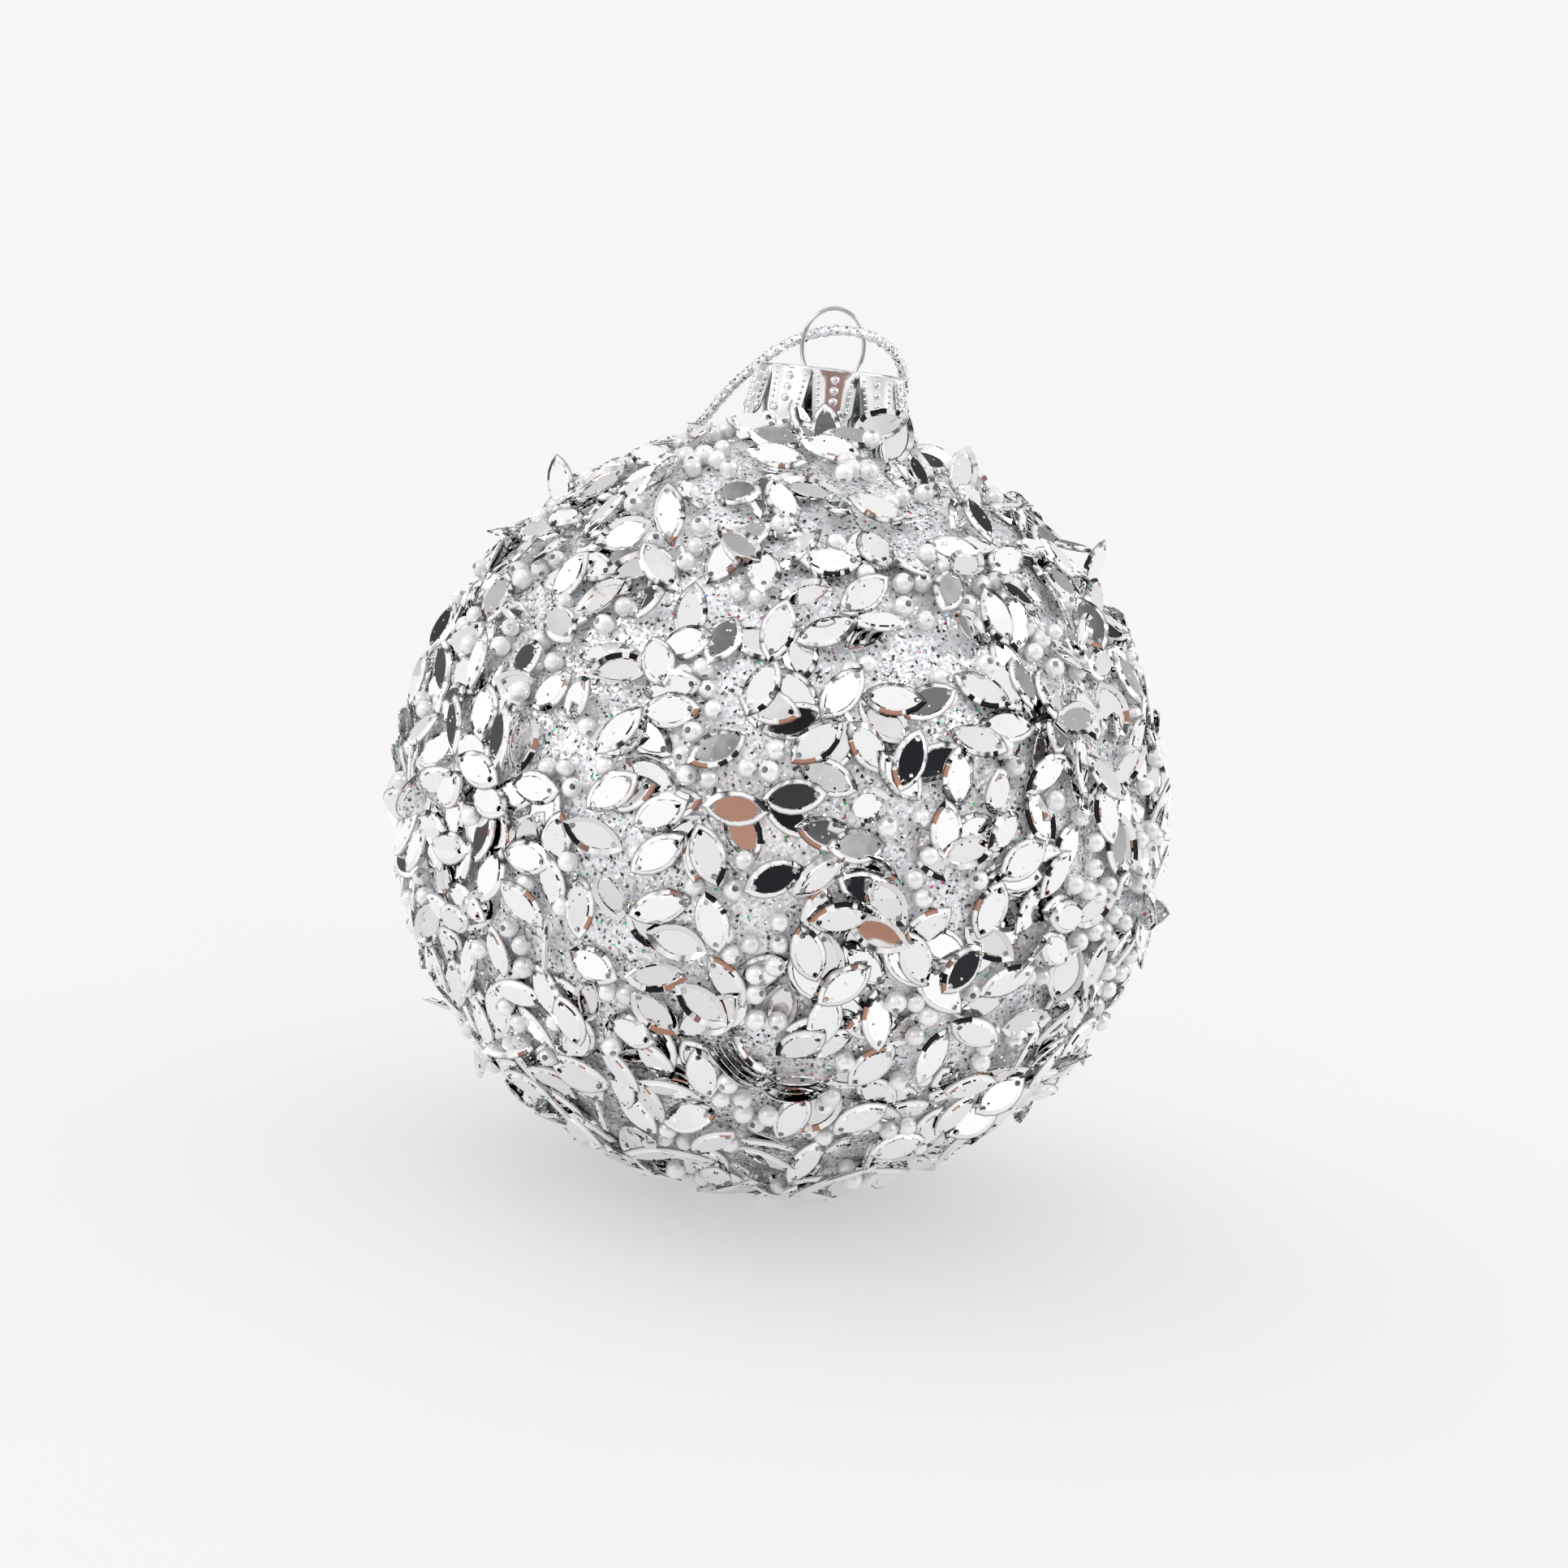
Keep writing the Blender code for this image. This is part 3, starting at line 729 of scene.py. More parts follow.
def punch_cutter(place, radius, depth, sides):
    """A short rod that punches a round hole at a place."""
    bm = bmesh.new()
    bmesh.ops.create_cone(
        bm, cap_ends=True, segments=sides, radius1=radius, radius2=radius,
        depth=depth, matrix=Matrix.Translation(place))
    return new_object("punch", mesh_from(bm, "punch"))


def baked(blank, cutters):
    """The blank's mesh with its modifiers and the cutters' holes applied."""
    for cutter in cutters:
        hole = blank.modifiers.new("hole", "BOOLEAN")
        hole.operation = "DIFFERENCE"
        hole.solver = "EXACT"
        hole.object = cutter
    view = bpy.context.evaluated_depsgraph_get()
    mesh = bpy.data.meshes.new_from_object(blank.evaluated_get(view))
    for scrap in [blank] + cutters:
        bpy.data.objects.remove(scrap, do_unlink=True)
    return mesh


def sequin_prototype():
    bm = bmesh.new()
    rings = []
    for part, height in ((0.0, 0.0), (0.81, 0.62 * CUP), (1.0, CUP)):
        length = SEQUIN_LENGTH + (TABLE_LENGTH - SEQUIN_LENGTH) * part
        width = SEQUIN_WIDTH + (TABLE_WIDTH - SEQUIN_WIDTH) * part
        ring = [bm.verts.new((x, y, height))
                for x, y in boat_outline(length, width, OUTLINE_STEPS)]
        rings.append([bm.edges.new(pair) for pair in zip(ring, ring[1:] + ring[:1])])
    for outer, inner in zip(rings, rings[1:]):
        bmesh.ops.bridge_loops(bm, edges=outer + inner)
    bmesh.ops.contextual_create(bm, geom=rings[-1])
    blank_mesh = mesh_from(bm, "sequin_blank")
    if sum(face.normal.z for face in blank_mesh.polygons) < 0.0:
        blank_mesh.flip_normals()
    blank = new_object("sequin_blank", blank_mesh)
    wall = blank.modifiers.new("film", "SOLIDIFY")
    wall.thickness = FILM_THICKNESS
    wall.offset = -1.0
    punches = [punch_cutter((x, 0.0, 0.0), HOLE_RADIUS, 8.0 * CUP, 6) for x in (-HOLE_X, HOLE_X)]
    mesh = baked(blank, punches)
    mesh.transform(Matrix.Translation((0.0, 0.0, FILM_THICKNESS)))
    # The edge attribute marks the band along the outline that gets the painted dark outline.
    for name in ("underside", "painted_edge_shade"):
        mesh.attributes.new(name, "FLOAT", "POINT")
    under, edge = (mesh.attributes[name].data for name in ("underside", "painted_edge_shade"))
    for index, vert in enumerate(mesh.vertices):
        half = boat_half_width(vert.co.x, OUTLINE_BOW, SEQUIN_WIDTH)
        under[index].value = float(vert.normal.z < 0.0)
        edge[index].value = float(half - abs(vert.co.y) < PAINTED_EDGE_WIDTH)
    return mesh


SEQUIN = sequin_prototype()
SEQUIN_HEIGHT = CUP + FILM_THICKNESS
print("sequin:", len(SEQUIN.polygons), "faces")

# %% [markdown]
# ## One pearl
#
# A drilled bead: an arc closed by the wall of its bore, spun round the bore.

# %% Pearl prototype
PEARL_RADIUS = 1.27 * MM
BORE_RADIUS = 0.40 * MM


def pearl_prototype():
    bm = bmesh.new()
    start = asin(BORE_RADIUS / PEARL_RADIUS)
    steps = 6
    arc = []
    for step in range(steps + 1):
        angle = start + (pi - 2.0 * start) * step / steps
        arc.append(bm.verts.new((PEARL_RADIUS * sin(angle), 0.0, PEARL_RADIUS * cos(angle))))
    edges = [bm.edges.new(pair) for pair in zip(arc, arc[1:] + arc[:1])]
    bmesh.ops.spin(bm, geom=arc + edges, cent=(0, 0, 0), axis=(0, 0, 1),
                   angle=2.0 * pi, steps=12, use_merge=True)
    return mesh_from(bm, "pearl")


BEAD = pearl_prototype()
print("pearl:", len(BEAD.polygons), "faces")

# %% [markdown]
# ## Letting the pieces settle
#
# On the real ball each piece lands on whatever is there already. A height map
# keeps that record. It is drawn on the six sides of a cube round the ball, so its
# cells are nearly the same size everywhere, and each cell holds how high the
# pieces reach there over the coat. A piece is recorded by points on its surface.
# A new sequin comes down flat and tips until three points carry it, which is the
# lowest plane that stays above every height under it.

# %% Height map
CELLS = 220                        # along one side of the cube
SAMPLE_STEP = 0.23 * MM
heights = np.zeros((6, CELLS, CELLS))


def map_cells(directions):
    """Which side of the cube, and which cell of it, each direction meets."""
    each = np.arange(len(directions))
    face = np.abs(directions).argmax(axis=1)
    main = directions[each, face]
    side = 2 * face + (main > 0)
    first = directions[each, (face + 1) % 3] / main
    second = directions[each, (face + 2) % 3] / main
    row = np.clip(((first + 1.0) / 2.0 * CELLS).astype(int), 0, CELLS - 1)
    column = np.clip(((second + 1.0) / 2.0 * CELLS).astype(int), 0, CELLS - 1)
    return side, row, column


def tangent_frame(normal, spin):
    """Two unit vectors along the surface, the first one turned by spin."""
    helper = Vector((0.0, 0.0, 1.0)) if abs(normal.z) < 0.9 else Vector((1.0, 0.0, 0.0))
    first = helper.cross(normal).normalized()
    second = normal.cross(first)
    along = first * cos(spin) + second * sin(spin)
    return along, normal.cross(along)


def heights_under(normal, along, across, xy):
    """Height of what lies under local points, over the tangent plane at the coat."""
    spots = (np.array(normal) * COAT_RADIUS + np.outer(xy[:, 0], along)
             + np.outer(xy[:, 1], across))
    reach = np.linalg.norm(spots, axis=1)
    level = heights[map_cells(spots)]
    return (COAT_RADIUS + level) * COAT_RADIUS / reach - COAT_RADIUS


def record(place, samples):
    """Raise the map wherever the samples of a placed piece reach higher."""
    spots = samples @ np.array(place.to_3x3()).T + np.array(place.translation)
    spots -= np.array(BALL_CENTRE)
    level = np.linalg.norm(spots, axis=1) - COAT_RADIUS
    np.maximum.at(heights, map_cells(spots), level)


print("height map:", heights.shape)


# %% Points on the pieces
def sequin_samples():
    x, y = np.meshgrid(np.arange(-SEQUIN_LENGTH, SEQUIN_LENGTH, 2.0 * SAMPLE_STEP) / 2.0,
                       np.arange(-SEQUIN_WIDTH, SEQUIN_WIDTH, 2.0 * SAMPLE_STEP) / 2.0)
    half = boat_half_width(x, OUTLINE_BOW, SEQUIN_WIDTH)
    table = boat_half_width(x, TABLE_BOW, TABLE_WIDTH)
    inside = np.abs(y) < half
    rise = np.clip((half - np.abs(y)) / np.maximum(half - table, SAMPLE_STEP), 0.0, 1.0)
    lower = np.stack([x[inside], y[inside], CUP * rise[inside]], axis=1)
    return np.vstack([lower, lower + np.array([0.0, 0.0, FILM_THICKNESS])])


def pearl_samples(count=320):
    turn = np.arange(count) * pi * (3.0 - sqrt(5.0))
    height = 1.0 - 2.0 * (np.arange(count) + 0.5) / count
    level = np.sqrt(1.0 - height ** 2)
    return PEARL_RADIUS * np.stack([level * np.cos(turn), level * np.sin(turn), height], axis=1)


SEQUIN_SAMPLES = sequin_samples()
PEARL_SAMPLES = pearl_samples()
print("samples:", len(SEQUIN_SAMPLES), "on a sequin,", len(PEARL_SAMPLES), "on a pearl")

# %% [markdown]
# ### What a sequin must keep clear of
#
# The cap pulls straight up, so nothing may stand in the cylinder over its feet.
# The cord lies on the sequins under it, and no piece goes through the floor or
# stands prouder than the real ones do.

# %% Keeping clear
CAP_CLEARANCE = 12.2 * MM
CORD_KEEP = CORD_DIAMETER / 2.0 + 0.20 * MM
PROUDEST = 55.6 * MM              # from the ball's centre, for one lying down
PROUDEST_EDGE = 57.2 * MM         # and for one on edge
cord_array = np.array(cord_points[::3])
RIM = np.array(boat_outline(SEQUIN_LENGTH, SEQUIN_WIDTH, 6))
MIDDLE = np.array([(0.0, 0.0), (1.3, 0.0), (-1.3, 0.0), (0.0, 0.8), (0.0, -0.8),
                   (2.2, 0.0), (-2.2, 0.0)]) * MM
SUPPORTS = np.vstack([RIM, MIDDLE])
TRIPLES = np.array(list(combinations(range(len(SUPPORTS)), 3)))


def clear_to_place(place, proudest=PROUDEST):
    """True if a sequin at this place meets neither cap, cord nor floor."""
    turn = np.array(place.to_3x3())
    shift = np.array(place.translation)
    low = np.column_stack([RIM, np.zeros(len(RIM))])
    high = np.column_stack([RIM * 0.75, np.full(len(RIM), SEQUIN_HEIGHT)])
    spots = np.vstack([low, high]) @ turn.T + shift
    if spots[:, 2].min() < FLOOR + 0.05 * MM:
        return False
    from_centre = spots - np.array(BALL_CENTRE)
    if np.linalg.norm(from_centre, axis=1).max() > proudest:
        return False
    level = np.hypot(spots[:, 0], spots[:, 1])
    if np.any((spots[:, 2] > CAP_FOOT - 1.2 * MM) & (level < CAP_CLEARANCE)):
        return False
    gaps = np.linalg.norm(cord_array[None, :, :] - spots[:, None, :], axis=2)
    return gaps.min() > CORD_KEEP


# %% Settling a sequin
def resting_plane(normal, along, across, cup_up):
    """Lowest plane a + b x + c y that stays above what lies under a sequin."""
    under = heights_under(normal, along, across, SUPPORTS)
    slack = np.zeros(len(SUPPORTS))
    slack[slice(None, len(RIM)) if cup_up else slice(len(RIM), None)] = CUP
    need = under - slack
    x, y = SUPPORTS[TRIPLES, 0], SUPPORTS[TRIPLES, 1]
    level = need[TRIPLES]
    twist = ((x[:, 1] - x[:, 0]) * (y[:, 2] - y[:, 0])
             - (x[:, 2] - x[:, 0]) * (y[:, 1] - y[:, 0]))
    good = np.abs(twist) > 1e-8
    twist = np.where(good, twist, 1.0)
    b = ((level[:, 1] - level[:, 0]) * (y[:, 2] - y[:, 0])
         - (level[:, 2] - level[:, 0]) * (y[:, 1] - y[:, 0])) / twist
    c = ((x[:, 1] - x[:, 0]) * (level[:, 2] - level[:, 0])
         - (x[:, 2] - x[:, 0]) * (level[:, 1] - level[:, 0])) / twist
    a = level[:, 0] - b * x[:, 0] - c * y[:, 0]
    planes = a[:, None] + b[:, None] * SUPPORTS[:, 0] + c[:, None] * SUPPORTS[:, 1]
    holds = good & np.all(planes >= need - 1e-6, axis=1)
    if not holds.any():
        return None
    best = np.argmin(np.where(holds, a, 1.0))
    return a[best], b[best], c[best]


def sequin_place(normal, along, across, plane, cup_up):
    """The matrix that puts the prototype on its resting plane."""
    a, b, c = plane
    up = (normal - along * b - across * c).normalized()
    long_side = (along - up * along.dot(up)).normalized()
    short_side = up.cross(long_side)
    base = BALL_CENTRE + normal * (COAT_RADIUS + a)
    place = Matrix.Translation(base) @ axes_turn(long_side, short_side, up)
    if cup_up:
        flip = Matrix.Translation((0.0, 0.0, SEQUIN_HEIGHT)) @ Matrix.Rotation(pi, 4, "X")
        place = place @ flip
    return place


# %% [markdown]
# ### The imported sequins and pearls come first
#
# The frame holds a few sequins and pearls as solids of their own, the ones that
# carry and bound the ball. Their places are read back from their meshes: the
# longest spread of the vertices is the length, the shortest is the height, and
# the rim is the side whose outline is wider.

# %% Reading places from the frame
def node_points(name):
    mesh = frame["nodes"][name].data
    points = np.empty(len(mesh.vertices) * 3, np.float32)
    mesh.vertices.foreach_get("co", points)
    return np.unique(points.reshape(-1, 3).round(7), axis=0).astype(float)


def packed_sequin_place(name):
    points = node_points(name)
    middle = (points.max(axis=0) + points.min(axis=0)) / 2.0
    spread = points - points.mean(axis=0)
    _, _, axes = np.linalg.svd(spread, full_matrices=False)
    long_side, short_side, up = axes
    local = (points - middle) @ axes.T
    tips = np.abs(local[:, 0]) > 0.45 * SEQUIN_LENGTH
    if local[tips, 2].mean() > local[~tips, 2].mean():
        up = -up
    local = (points - middle) @ np.array([long_side, short_side, up]).T
    shift = (local.max(axis=0) + local.min(axis=0)) / 2.0
    top = local[:, 2].max()
    centre = middle + long_side * shift[0] + short_side * shift[1] + up * (top - SEQUIN_HEIGHT)
    long_side = Vector(long_side)
    up = Vector(up)
    return Matrix.Translation(Vector(centre)) @ axes_turn(long_side, up.cross(long_side), up)


def keep_sequin(place):
    sequin_places.append(place)
    sequin_tones.append(dice.random())
    record(place, SEQUIN_SAMPLES)


def keep_pearl(place):
    pearl_places.append(place)
    pearl_tones.append(dice.random())
    record(place, PEARL_SAMPLES)


dice = random.Random(23)
sequin_places, sequin_tones = [], []
pearl_places, pearl_tones = [], []
packed_sequins = sorted(n for n in frame["nodes"] if "sequin" in n)
packed_pearls = sorted(n for n in frame["nodes"] if n.startswith("pearl"))
for name in packed_sequins:
    keep_sequin(packed_sequin_place(name))
for name in packed_pearls:
    low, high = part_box(name)
    centre = (low + high) / 2.0
    axis = Vector([dice.gauss(0.0, 1.0) for _ in range(3)]).normalized()
    turn = axis.to_track_quat("Z", "Y").to_matrix().to_4x4()
    keep_pearl(Matrix.Translation(centre) @ turn)
print("packed sequins", len(packed_sequins), "packed pearls", len(packed_pearls))

# %% [markdown]
# ### A few placed one by one
#
# Where the ball was held by its neck, pieces piled up against the cap's foot: one
# sequin stands up in front of the cap, others lean beside it, and two landed cup
# side out. These are put in place one by one, each with its middle (millimetres
# from the ball's centre), the way its length runs and the way it faces.

# %% Sequins and pearls by the cap
BY_HAND = [
    ((0.4, -14.4, 52.3), (-0.18, 0.10, 1.0), (-0.16, -1.0, 0.12), False),
    ((-2.9, -14.9, 52.9), (0.52, -0.45, -0.62), (0.60, -0.45, 0.55), False),
    ((3.9, -15.6, 52.0), (1.0, 0.05, -0.12), (0.05, -0.62, 0.80), False),
    ((7.4, -13.2, 54.4), (0.95, 0.35, 0.30), (0.10, -0.90, 0.45), True),
    ((9.9, -12.6, 52.4), (0.25, 0.30, 1.0), (0.35, -1.0, 0.25), True),
    ((-9.3, -12.6, 52.4), (0.9, -0.5, 0.1), (-0.2, -0.55, 0.8), False),
    ((-6.0, -16.8, 50.9), (1.0, -0.25, -0.05), (-0.05, -0.70, 0.75), False),
    ((1.2, -18.8, 50.5), (-1.0, 0.15, 0.10), (0.0, -0.75, 0.70), False),
    ((-34.2, -7.0, 41.6), (-0.22, 0.05, 1.0), (-0.45, -0.85, -0.1), False),
    ((38.5, -3.0, 38.5), (0.35, 0.25, 1.0), (0.75, -0.62, -0.1), False),
    ((-30.5, -34.5, -29.0), (-1.0, -0.30, -0.15), (-0.1, -0.62, 0.80), False),
]
PEARLS_BY_HAND = [(-7.4, -12.0, 53.2), (-5.2, -13.3, 52.6), (6.3, -16.2, 52.2), (6.4, -24.0, 48.2),
                  (3.4, -21.5, 49.2), (4.3, -23.3, 48.2), (3.2, -24.9, 47.6)]

# Sheaves of sequins that lie against one another like the pages of a book: the
# first page, the step to the next one (mm), the turn to the next one (degrees)
# and the number of pages.
SHEAVES = [
    (((-35.2, -39.4, 11.4), (-0.10, 0.05, 1.0), (-0.80, -0.60, 0.12), False),
     (0.80, -0.60, 0.0), -21.0, 5),
    (((-2.6, -45.6, -25.8), (0.77, 0.32, -0.55), (0.64, -0.12, 0.76), False),
     (0.70, -0.30, 0.60), 5.0, 5),
    (((5.6, -45.4, -27.6), (0.95, -0.20, 0.20), (-0.20, -0.42, 0.90), True),
     (0.15, -0.35, 0.95), -9.0, 3),
]


def by_hand(middle, length_way, facing, cup_out):
    up = Vector(facing).normalized()
    long_side = Vector(length_way)
    long_side = (long_side - up * long_side.dot(up)).normalized()
    place = (Matrix.Translation(BALL_CENTRE + Vector(middle) * MM)
             @ axes_turn(long_side, up.cross(long_side), up))
    if cup_out:
        place = place @ Matrix.Rotation(pi, 4, "X")
    return place


def sheaf(first, step, turn_deg, pages):
    """The places of the pages of one sheaf."""
    middle, length_way, facing, cup_out = first
    spine = Vector(length_way).normalized()
    for page in range(pages):
        turned = Matrix.Rotation(radians(turn_deg * page), 3, spine) @ Vector(facing)
        yield by_hand(Vector(middle) + Vector(step) * page, length_way, turned, cup_out)


for middle, length_way, facing, cup_out in BY_HAND:
    keep_sequin(by_hand(middle, length_way, facing, cup_out))
for first, step, turn_deg, pages in SHEAVES:
    for place in sheaf(first, step, turn_deg, pages):
        keep_sequin(place)
for index, middle in enumerate(PEARLS_BY_HAND):
    tilt = Matrix.Rotation(radians(75.0 - 20.0 * index), 4, "X")
    keep_pearl(Matrix.Translation(BALL_CENTRE + Vector(middle) * MM) @ tilt)
print("placed by hand:", len(BY_HAND), "sequins and", len(PEARLS_BY_HAND), "pearls")

# %% [markdown]
# ### Pearls in little groups
#
# Pearls roll together before the glue sets, so they come in groups of one to
# four that touch each other.

# %% Pearls
PEARL_COUNT = 540
PEARLS_BEFORE = 330
MOST_PEARL_TRIES = 9000
TOP_LIMIT = cos(radians(15.5))     # no piece lands nearer to the neck than this


def random_direction():
    height = dice.uniform(-1.0, TOP_LIMIT)
    turn = dice.uniform(0.0, 2.0 * pi)
    level = sqrt(1.0 - height ** 2)
    return Vector((level * cos(turn), level * sin(turn), height))


def try_pearl(normal, most_under):
    """Put a pearl down where little lies under it; True if it found room."""
    along, across = tangent_frame(normal, 0.0)
    ring = [(0.0, 0.0)] + [(0.8 * cos(t), 0.8 * sin(t)) for t in np.arange(0, 6.2, 1.05)]
    under = heights_under(normal, along, across, np.array(ring) * MM)
    if under.max() > most_under:
        return False
    level = max(under[0], under.max() - 0.3 * MM, 0.0)
    centre = BALL_CENTRE + normal * (COAT_RADIUS + level + 0.88 * PEARL_RADIUS)
    if centre.z < PEARL_RADIUS + 0.05 * MM:
        return False
    near_cap = centre.z > CAP_FOOT - 2.0 * MM
    if near_cap and sqrt(centre.x ** 2 + centre.y ** 2) < CAP_CLEARANCE + PEARL_RADIUS:
        return False
    gaps = np.linalg.norm(cord_array - np.array(centre), axis=1)
    if gaps.min() < PEARL_RADIUS + CORD_KEEP:
        return False
    for other in pearl_places[-12:]:
        if (other.translation - centre).length < 1.94 * PEARL_RADIUS:
            return False
    tilt = Vector([dice.gauss(0.0, 1.0) for _ in range(3)])
    tilt += normal * dice.choice((0.0, 2.2))
    turn = tilt.to_track_quat("Z", "Y").to_matrix().to_4x4()
    size = Matrix.Scale(dice.uniform(0.94, 1.10), 4)
    keep_pearl(Matrix.Translation(centre) @ turn @ size)
    return True


def drop_pearls(total, most_under):
    tries = 0
    while len(pearl_places) < total and tries < MOST_PEARL_TRIES:
        tries += 1
        normal = random_direction()
        if not try_pearl(normal, most_under):
            continue
        for _ in range(dice.choice((0, 0, 1, 1, 2, 3))):
            along, _ = tangent_frame(normal, dice.uniform(0.0, 2.0 * pi))
            normal = (normal * COAT_RADIUS + along * 2.08 * PEARL_RADIUS).normalized()
            try_pearl(normal, most_under)


drop_pearls(PEARLS_BEFORE, 0.4 * MM)
print("pearls so far:", len(pearl_places))

# %% [markdown]
# ### Sequins on edge
#
# About one in ten is caught on edge by the glue. Half of those stand on a
# long side, and half are propped up on a tip. They go in before the flat ones,
# which then lie round them.

# %% Sequins on edge
STANDING = 140
STANDING_TURNED = 0.4              # share that show their other face


def stand_sequin(normal, spin, lean, on_side):
    """Stand one sequin in the glue; True if it found room."""
    along, across = tangent_frame(normal, spin)
    footprint = RIM * np.array([1.0, 0.35]) if on_side else RIM * np.array([0.5, 0.6])
    if heights_under(normal, along, across, footprint).max() > 0.5 * MM:
        return False
    axis = "X" if on_side else "Y"
    reach = SEQUIN_WIDTH / 2.0 if on_side else SEQUIN_LENGTH / 2.0
    lift = reach * sin(lean) - 0.15 * MM
    place = (Matrix.Translation(BALL_CENTRE + normal * (COAT_RADIUS + lift))
             @ axes_turn(along, across, normal) @ Matrix.Rotation(lean, 4, axis))
    if dice.random() < STANDING_TURNED:
        place = place @ Matrix.Translation((0.0, 0.0, SEQUIN_HEIGHT)) @ Matrix.Rotation(pi, 4, "X")
    if not clear_to_place(place, PROUDEST_EDGE):
        return False
    keep_sequin(place)
    return True


placed = 0
while placed < STANDING:
    on_side = dice.random() < 0.55
    lean = radians(dice.uniform(30.0, 66.0) if on_side else dice.uniform(16.0, 44.0))
    placed += stand_sequin(random_direction(), dice.uniform(0.0, 2.0 * pi), lean, on_side)
print("standing:", placed)

# %% [markdown]
# ### Sequins that lie down
#
# The rest come down one by one at random. A sequin that would have to lie too
# steep or too high is dropped again somewhere else, as if it had slid off.

# %% Sequins that lie down
SEQUIN_COUNT = 1420
MOST_SEQUIN_TRIES = 30000
CUP_UP_SHARE = 0.16
MOST_TILT = tan(radians(24.0))
MOST_LIFT = 1.9 * MM


def lay_sequin(normal, spin, cup_up):
    along, across = tangent_frame(normal, spin)
    plane = resting_plane(normal, along, across, cup_up)
    if plane is None:
        return False
    a, b, c = plane
    if a > MOST_LIFT or sqrt(b * b + c * c) > MOST_TILT:
        return False
    b += dice.gauss(0.0, 0.035)
    c += dice.gauss(0.0, 0.055)
    plane = (a + 0.03 * MM, b, c)
    place = sequin_place(normal, along, across, plane, cup_up)
    if not clear_to_place(place):
        return False
    keep_sequin(place)
    return True


FEELERS = np.vstack([RIM * 0.8, MIDDLE])


def barest_direction(choices):
    """Of several random directions, the one with the least under it."""
    best, least = None, 1.0
    for _ in range(choices):
        normal = random_direction()
        along, across = tangent_frame(normal, 0.0)
        under = heights_under(normal, along, across, FEELERS).mean()
        if under < least:
            best, least = normal, under
    return best


tries = 0
while len(sequin_places) < SEQUIN_COUNT and tries < MOST_SEQUIN_TRIES:
    tries += 1
    lay_sequin(barest_direction(3), dice.uniform(0.0, 2.0 * pi), dice.random() < CUP_UP_SHARE)
print("sequins:", len(sequin_places), "after", tries, "tries")
drop_pearls(PEARL_COUNT, 1.0 * MM)
print("pearls:", len(pearl_places))

# %% [markdown]
# ### From places to pieces
#
# The sequins become five pieces, one for each band of the ball from the cap to
# the foot, and the pearls become three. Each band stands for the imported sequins
# and pearls that lie in it.

# %% Bands of sequins and pearls
SEQUIN_BANDS = [("crown_sequins", 50.0), ("shoulder_sequins", 75.0), ("waist_sequins", 103.0),
                ("belly_sequins", 130.0), ("foot_sequins", 180.1)]
PEARL_BANDS = [("upper_pearls", 68.0), ("middle_pearls", 108.0), ("lower_pearls", 180.1)]


def polar_of(place):
    return np.degrees((place.translation - BALL_CENTRE).angle(Vector((0.0, 0.0, 1.0))))


def build_bands(bands, prototype, places, tones, packed, material, smooth_angle):
    lowest = -1.0
    for name, highest in bands:
        chosen = [i for i, place in enumerate(places) if lowest <= polar_of(place) < highest]
        mesh = copies(name, prototype, [places[i] for i in chosen],
                      [tones[i] for i in chosen], smooth_angle)
        piece = make_piece(name, mesh, material, "ball")
        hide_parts(*[packed[i] for i in chosen if i < len(packed)])
        lowest = highest


build_bands(SEQUIN_BANDS, SEQUIN, sequin_places, sequin_tones, packed_sequins, FILM,
            18.5)
build_bands(PEARL_BANDS, BEAD, pearl_places, pearl_tones, packed_pearls, PEARL,
            50.0)

# %% [markdown]
# ## Loose flakes and drops of glue
#
# Some glitter lies on top of the glue as separate flakes, tiny hexagons of foil.
# They go where the height map is still bare. Small drops of clear glue dried on
# the sequins.

# %% Flakes of glitter
FLAKES = 9500
FLAKE_RADIUS = 0.16 * MM
FLAKE_LIFT = 0.05 * MM


def flake_prototype():
    bm = bmesh.new()
    bmesh.ops.create_cone(bm, cap_ends=True, segments=6, radius1=FLAKE_RADIUS,
                          radius2=FLAKE_RADIUS, depth=0.03 * MM)
    return mesh_from(bm, "flake")


FLAKE = flake_prototype()
flake_places, flake_tones = [], []
while len(flake_places) < FLAKES:
    normal = random_direction()
    along, across = tangent_frame(normal, dice.uniform(0.0, 2.0 * pi))
    if heights_under(normal, along, across, np.zeros((1, 2)))[0] > FLAKE_LIFT:
        continue
    lean = Matrix.Rotation(radians(abs(dice.gauss(0.0, 28.0))), 4, "X")
    size = Matrix.Scale(dice.uniform(0.7, 1.5), 4)
    lift = Matrix.Translation(BALL_CENTRE + normal * (COAT_RADIUS + FLAKE_LIFT))
    flake_places.append(lift @ axes_turn(along, across, normal) @ lean @ size)
    flake_tones.append(dice.random())
flake_mesh = copies("loose_flakes", FLAKE, flake_places, flake_tones)
make_piece("loose_flakes", flake_mesh, FOIL, "ball")

# %% Drops of dried glue
DROPS = 420


def drop_prototype():
    bm = bmesh.new()
    bmesh.ops.create_uvsphere(bm, u_segments=8, v_segments=5, radius=1.0)
    bmesh.ops.scale(bm, vec=(1.0, 1.0, 0.45), verts=bm.verts)
    return mesh_from(bm, "drop")


DROP = drop_prototype()
drop_places = []
for index in range(DROPS):
    host = sequin_places[dice.randrange(len(sequin_places))]
    spot = Vector((dice.uniform(-2.2, 2.2), dice.uniform(-0.9, 0.9), 0.0)) * MM
    spot.z = SEQUIN_HEIGHT
    size = dice.choice((0.10, 0.12, 0.15, 0.18, 0.26)) * MM
    drop_places.append(host @ Matrix.Translation(spot) @ Matrix.Scale(size, 4))
drop_mesh = copies("glue_drops", DROP, drop_places, [0.5] * DROPS, 60.0)
make_piece("glue_drops", drop_mesh, GLUE, "ball")

